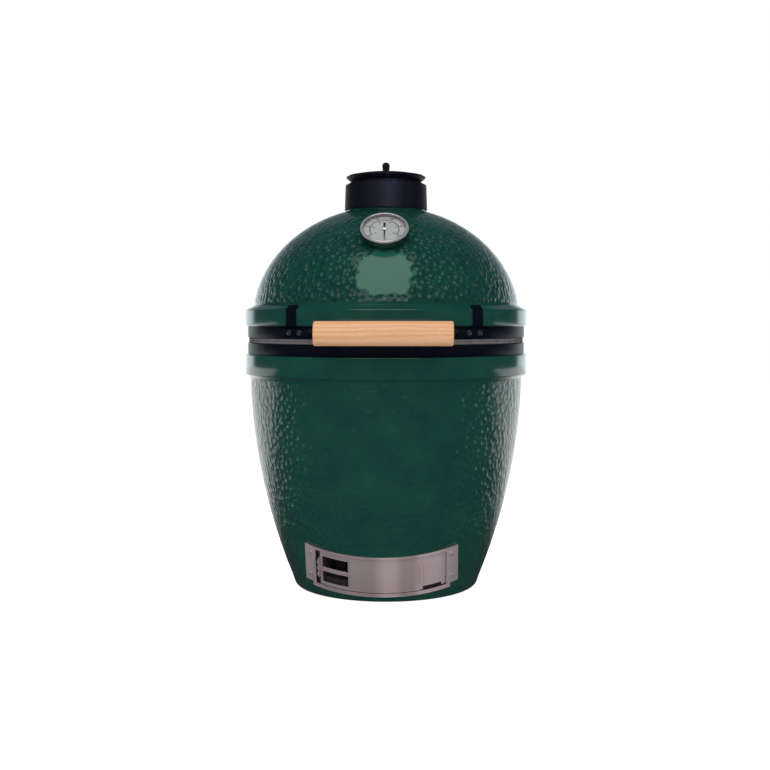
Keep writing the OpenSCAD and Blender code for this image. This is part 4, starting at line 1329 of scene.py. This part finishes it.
def dial_number(value, radius, high, angle):
    """A plain upright number, printed on the dial."""
    turn = math.radians(angle)
    deselect()
    bpy.ops.object.text_add(location=(0, 0, 0))
    text = bpy.context.object.data
    text.body, text.size, text.extrude = str(value), high, DIAL.number_extrude
    text.align_x = text.align_y = "CENTER"
    bpy.ops.object.convert(target="MESH")
    number = take("Number")
    move_mesh(number, radius * math.cos(turn), radius * math.sin(turn), DIAL.print_top)
    return number


def dial_print():
    """The printed marks: a broken ring, two rows of ticks and two rows of plain numbers."""
    low, high, ring = DIAL.print_low, DIAL.print_top, DIAL.ring
    start, sweep = DIAL.start, DIAL.sweep
    first = sector(
        "Dial_print", ring - 0.0006, ring + 0.0006, low, high, start + 90 - sweep, start + 90, 96
    )
    marks = []
    for step in range(DIAL.marks + 1):
        angle = start - sweep * step / DIAL.marks
        long = step % 5 == 0
        marks.append(dial_bar(ring, ring + (0.0028 if long else 0.0016), 0.00055, angle))
        if step % 2 == 0:
            marks.append(dial_bar(ring - 0.0018, ring, 0.00045, angle))
        if long:
            numbers = (50 + 10 * step, 10 + 6 * step)
            for sizes in zip(numbers, DIAL.number_rings, DIAL.number_heights):
                marks.append(dial_number(*sizes, angle))
    rim = sector("Rim_line", *DIAL.line, low, high, -180, 180, 128)
    return join(first, rim, *marks)


def dial_pointer():
    """The pointer: a broad tail above its hub and a thin tip below it."""
    tip, tail = DIAL.tip, DIAL.tail
    side = [(0.0005, -tip), (0.0014, 0), (0.0020, 0.012), (0.0022, tail)]
    corners = [(-0.0005, -tip)] + side + [(-x, z) for x, z in side[:0:-1]]
    blade = plate("Thermometer_pointer", corners, 0.0007, 0.0002)
    turn_mesh(blade, -90, "X")
    move_mesh(blade, 0, 0, DIAL.face + 0.0020)
    return blade


def dial_hub():
    """The hub: a low domed cap over the middle of the pointer."""
    base, radius = DIAL.face + 0.0014, DIAL.hub
    cap = [
        (radius * math.cos(a), base + 0.0009 + 0.0007 * math.sin(a))
        for a in np.linspace(0, math.pi / 2, 7)
    ]
    return turned("Thermometer_hub", [(0.0, base), (radius, base)] + cap, 40, closed=False)


class GRILL_OT_thermometer(bpy.types.Operator):
    """Builds the bezel, the dial with its marks, and the pointer with its hub"""

    bl_idname = "grill.thermometer"
    bl_label = "Thermometer"

    def execute(self, context):
        seat = frame_on_axis("pointer_turn")
        bezel = dial_bezel()
        smooth(bezel, 40)
        # Painted shade: the bezel's lower side gets a darker copy of the metal, standing in for the
        # shade and dark reflections on it.
        side = metal_material("Bezel_painted_shade", (0.30, 0.31, 0.32), (0.16, 0.16, 0.17), 0.14)
        bore, reach, face, top = DIAL.plate_bore, DIAL.plate, DIAL.face, DIAL.plate_top
        dial = turned(
            "Thermometer_dial", [(bore, face), (reach, face), (reach, top), (bore, top)], 96
        )
        smooth(dial, 30)
        marks = dial_print()
        pointer = dial_pointer()
        hub = dial_hub()
        for piece in (bezel, dial, marks, pointer, hub):
            place_mesh(piece, seat)
        dress(bezel, "Chrome", "dome", "thermometer_bezel", slot="chrome_trim")
        out = seat.inverted()
        # The painted shade goes on the faces below the side edge.
        add_second(bezel, side, lambda c: (out @ Vector(c)).z < DIAL.side_edge)
        dress(dial, "Dial_face", "dome", "thermometer_dial", slot="dial_face")
        dress(marks, "Dial_marks", "dome", slot="pointer_black")
        dress(pointer, "Pointer_black", "pointer", "thermometer_pointer", slot="pointer_black")
        dress(hub, "Chrome", "pointer", slot="chrome_trim")
        return {"FINISHED"}


# ---- Handle grip, bands, felt and vent ----
GRIP = SimpleNamespace(length=0.238, radius=0.0213, bore=0.0052, ease=0.003, y=-0.319, z=0.497)
BAND = {
    "inner": 0.267, "outer": 0.2698, "height": 0.0212, "half": 176, "base": 0.4545,
    "dome": 0.4864,
}
FELT = {"inner": 0.2245, "outer": 0.2680, "height": 0.0046, "base": 0.4763, "dome": 0.4812}
KNOB = SimpleNamespace(low=0.8072, high=0.8267, radius=0.0073, foot=0.003, side=0.0135)


def handle_grip():
    """The grip: a turned wooden bar with eased ends and a bore for the rod."""
    half, radius, bore, ease = GRIP.length / 2, GRIP.radius, GRIP.bore, GRIP.ease
    points = [(bore, -half), (radius - ease, -half)]
    points += arc_points(radius - ease, -half + ease, ease, -90, 0, 7)[1:]
    points += arc_points(radius - ease, half - ease, ease, 0, 90, 7)
    grip = turned("Handle_grip", points + [(bore, half)], 72)
    turn_mesh(grip, 90, "Y")
    move_mesh(grip, 0, GRIP.y, GRIP.z)
    smooth(grip, 40)
    return grip


def rim_band(body):
    """A steel band round a rim: open at the back, with rolled edges."""
    low, half = BAND[body], BAND["half"]
    band = sector(
        f"{body.title()}_band", BAND["inner"], BAND["outer"], low, low + BAND["height"], -half,
        half, 220,
    )
    return soften(band, 0.0008, 3, 40)


def felt_ring(body):
    """A felt gasket with soft corners and an edge that swells a little between the rims."""
    inner, outer, half, low = FELT["inner"], FELT["outer"], FELT["height"] / 2, FELT[body]
    high = low + FELT["height"]
    middle = (low + high) / 2
    edge = [
        (float(outer - 0.0012 * abs(a) ** 3), float(middle + half * a))
        for a in np.linspace(-1, 1, 9)
    ]
    ring = turned(f"{body.title()}_gasket", [(inner, low), *edge, (inner, high)], 360)
    fibres = coordinates(ring)
    wild = np.random.default_rng(7)
    out = np.hypot(fibres[:, 0], fibres[:, 1]) > outer - 0.002
    fibres[out, :2] *= 1 - 0.0018 * wild.random(int(out.sum()))[:, None]
    set_coordinates(ring, fibres)
    smooth(ring, 60)
    return ring


def vent_knob():
    """The knob of the daisy wheel: a short bulged rod with a domed top."""
    low, radius, side = KNOB.low, KNOB.radius, KNOB.side
    top = KNOB.high - low - side
    points = [(0.0, low), (radius * 0.93, low), (radius * 0.86, low + 0.002)]
    for step in np.linspace(0, 1, 8):
        wide = radius * (0.84 + 0.16 * math.sin(math.pi * 0.62 * step))
        points.append((wide, float(low + KNOB.foot + (side - KNOB.foot) * step)))
    wide = points[-1][0]
    points += [
        (float(wide * math.cos(a)), float(low + side + top * math.sin(a)))
        for a in np.linspace(0.15, math.pi / 2, 9)
    ]
    knob = turned("Vent_knob", points, 64, closed=False)
    smooth(knob, 40)
    return knob


def hinge_spring(word):
    """A torsion spring: a smoothed copy of the CAD spring in zinc plate, tied to no body, so
    neither leg moves with the base or the dome.
    """
    node = f"hinge_spring_{word}"
    piece = copy_of(node, node.capitalize())
    smooth(piece, 70)
    piece.data.materials.append(bpy.data.materials["Zinc_plate"])
    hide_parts(node)
    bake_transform(piece)


class GRILL_OT_trim(bpy.types.Operator):
    """Turns the grip, rolls the bands, lays the felt and turns the vent's knob"""

    bl_idname = "grill.trim"
    bl_label = "Handle, bands and felt"

    def execute(self, context):
        dress(handle_grip(), "Oiled_beech", "dome", "handle_grip", slot="beech")
        for body in ("base", "dome"):
            dress(rim_band(body), "Black_coat", body, f"{body}_band", slot="band_black")
        for body in ("base", "dome"):
            dress(felt_ring(body), "Grey_felt", body, f"{body}_gasket", slot="felt")
        disc = soften(copy_of("vent_disc", "Vent_disc"), 0.0022, 3, 28)
        dress(disc, "Cast_black", "vent_disc", "vent_disc", slot="cast_black")
        dress(vent_knob(), "Knob_black", "daisy_wheel", "vent_knob", slot="knob_black")
        for side, word in ((-1, "left"), (1, "right")):
            hinge_spring(word)
        return {"FINISHED"}


# ---- How far each thing shows from its image point ----
def shown(piece):
    """Where the vertices of a finished piece show in the image, and their places."""
    camera = bpy.context.scene.camera
    places = carried(coordinates(piece), piece.matrix_world)
    local = carried(places, camera.matrix_world.inverted())
    long_side = max(IMAGE_W, IMAGE_H)
    scale = long_side * camera.data.lens / camera.data.sensor_width / -local[:, 2]
    across = local[:, 0] * scale + IMAGE_W / 2
    return np.stack([across, IMAGE_H / 2 - local[:, 1] * scale], axis=1), places


def box_middle(points):
    return (points.min(axis=0) + points.max(axis=0)) / 2


def corner(points, across, down):
    """The vertex that lies furthest in one direction of the image."""
    return points[np.argmax(points[:, 0] * across + points[:, 1] * down)]


def measured():
    """Where each named thing shows, by its finished vertices."""
    base, dome, knob, bezel, grip, plate_points = (
        shown(bpy.data.objects[name])[0] for name in (
            "Base", "Dome", "Vent_knob", "Thermometer_bezel", "Handle_grip", "Draft_frame",
        )
    )
    door, door_places = shown(bpy.data.objects["Draft_door"])
    collar, collar_places = shown(frame["nodes"]["vent_collar"])
    foot = collar[collar_places[:, 2] < collar_places[:, 2].min() + 0.002]
    shells = np.concatenate([base, dome])
    bare = np.zeros(len(dome))
    bpy.data.objects["Dome"].data.attributes["badge"].data.foreach_get("value", bare)
    grip_y = box_middle(grip)[1]
    middle_x = POINTS["plate_top_middle"][0]
    near = plate_points[np.abs(plate_points[:, 0] - middle_x) < 3]
    local, _ = on_draft(door_places)
    turn = math.radians(DRAFT.slots[1])
    slot = np.array((
        math.sin(turn) * DRAFT.face, -math.cos(turn) * DRAFT.face,
        DRAFT.slot_rows[0] + DRAFT.slot_height,
    ))
    result = {
        "left_edge": (shells[:, 0].min(), None),
        "right_edge": (shells[:, 0].max(), None),
        "top_edge": (None, knob[:, 1].min()),
        "bottom_edge": (None, base[:, 1].max()),
        "dial_centre": box_middle(bezel),
        "grip_left_end": (grip[:, 0].min(), grip_y),
        "grip_right_end": (grip[:, 0].max(), grip_y),
        "collar_left_foot": corner(foot, -1, 0),
        "collar_right_foot": corner(foot, 1, 0),
        "plate_top_left": corner(plate_points, -1, -1),
        "plate_top_right": corner(plate_points, 1, -1),
        "plate_top_middle": (middle_x, near[:, 1].min()),
        "badge_middle": box_middle(dome[bare > 0.5]),
        "slot_corner": door[np.argmin(((local - slot) ** 2).sum(axis=1))],
    }
    for side in ("left", "right"):
        clip, _ = shown(frame["nodes"][f"dome_clip_{side}"])
        result[f"clip_{side}_top"] = (box_middle(clip)[0], clip[:, 1].min())
    return result


def write_points():
    """Works out how far in x and y each thing shows from its image point, without keeping the
    numbers.
    """
    for name, found in measured().items():
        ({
            key: round(float(there) - point, 2)
            for key, there, point in zip(("dx", "dy"), found, POINTS[name])
            if there is not None and point is not None
        })


# ---- Panel, registration and the run ----
class GRILL_PT_panel(bpy.types.Panel):
    """Lists the steps that build the grill"""

    bl_idname = "GRILL_PT_panel"
    bl_label = "Kamado grill"
    bl_space_type = "VIEW_3D"
    bl_region_type = "UI"
    bl_category = "Grill"

    def draw(self, context):
        for step in STEPS:
            self.layout.operator(step.bl_idname)
        for name in GrillSizes.__annotations__:
            self.layout.prop(context.scene.grill_sizes, name)
        for name in GrillColours.__annotations__:
            self.layout.prop(context.scene.grill_colours, name)


STEPS = (
    GRILL_OT_stage,
    GRILL_OT_finishes,
    GRILL_OT_shells,
    GRILL_OT_draft,
    GRILL_OT_thermometer,
    GRILL_OT_trim,
)
CLASSES = (GrillSizes, GrillColours, *STEPS, GRILL_PT_panel)


def register():
    for kind in CLASSES:
        bpy.utils.register_class(kind)
    bpy.types.Scene.grill_sizes = bpy.props.PointerProperty(type=GrillSizes)
    bpy.types.Scene.grill_colours = bpy.props.PointerProperty(type=GrillColours)


def unregister():
    del bpy.types.Scene.grill_colours
    del bpy.types.Scene.grill_sizes
    for kind in reversed(CLASSES):
        bpy.utils.unregister_class(kind)


def main():
    register()
    for step in STEPS:
        group, name = step.bl_idname.split(".")
        getattr(getattr(bpy.ops, group), name)()
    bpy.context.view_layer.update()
    write_points()


if __name__ == "__main__":
    main()
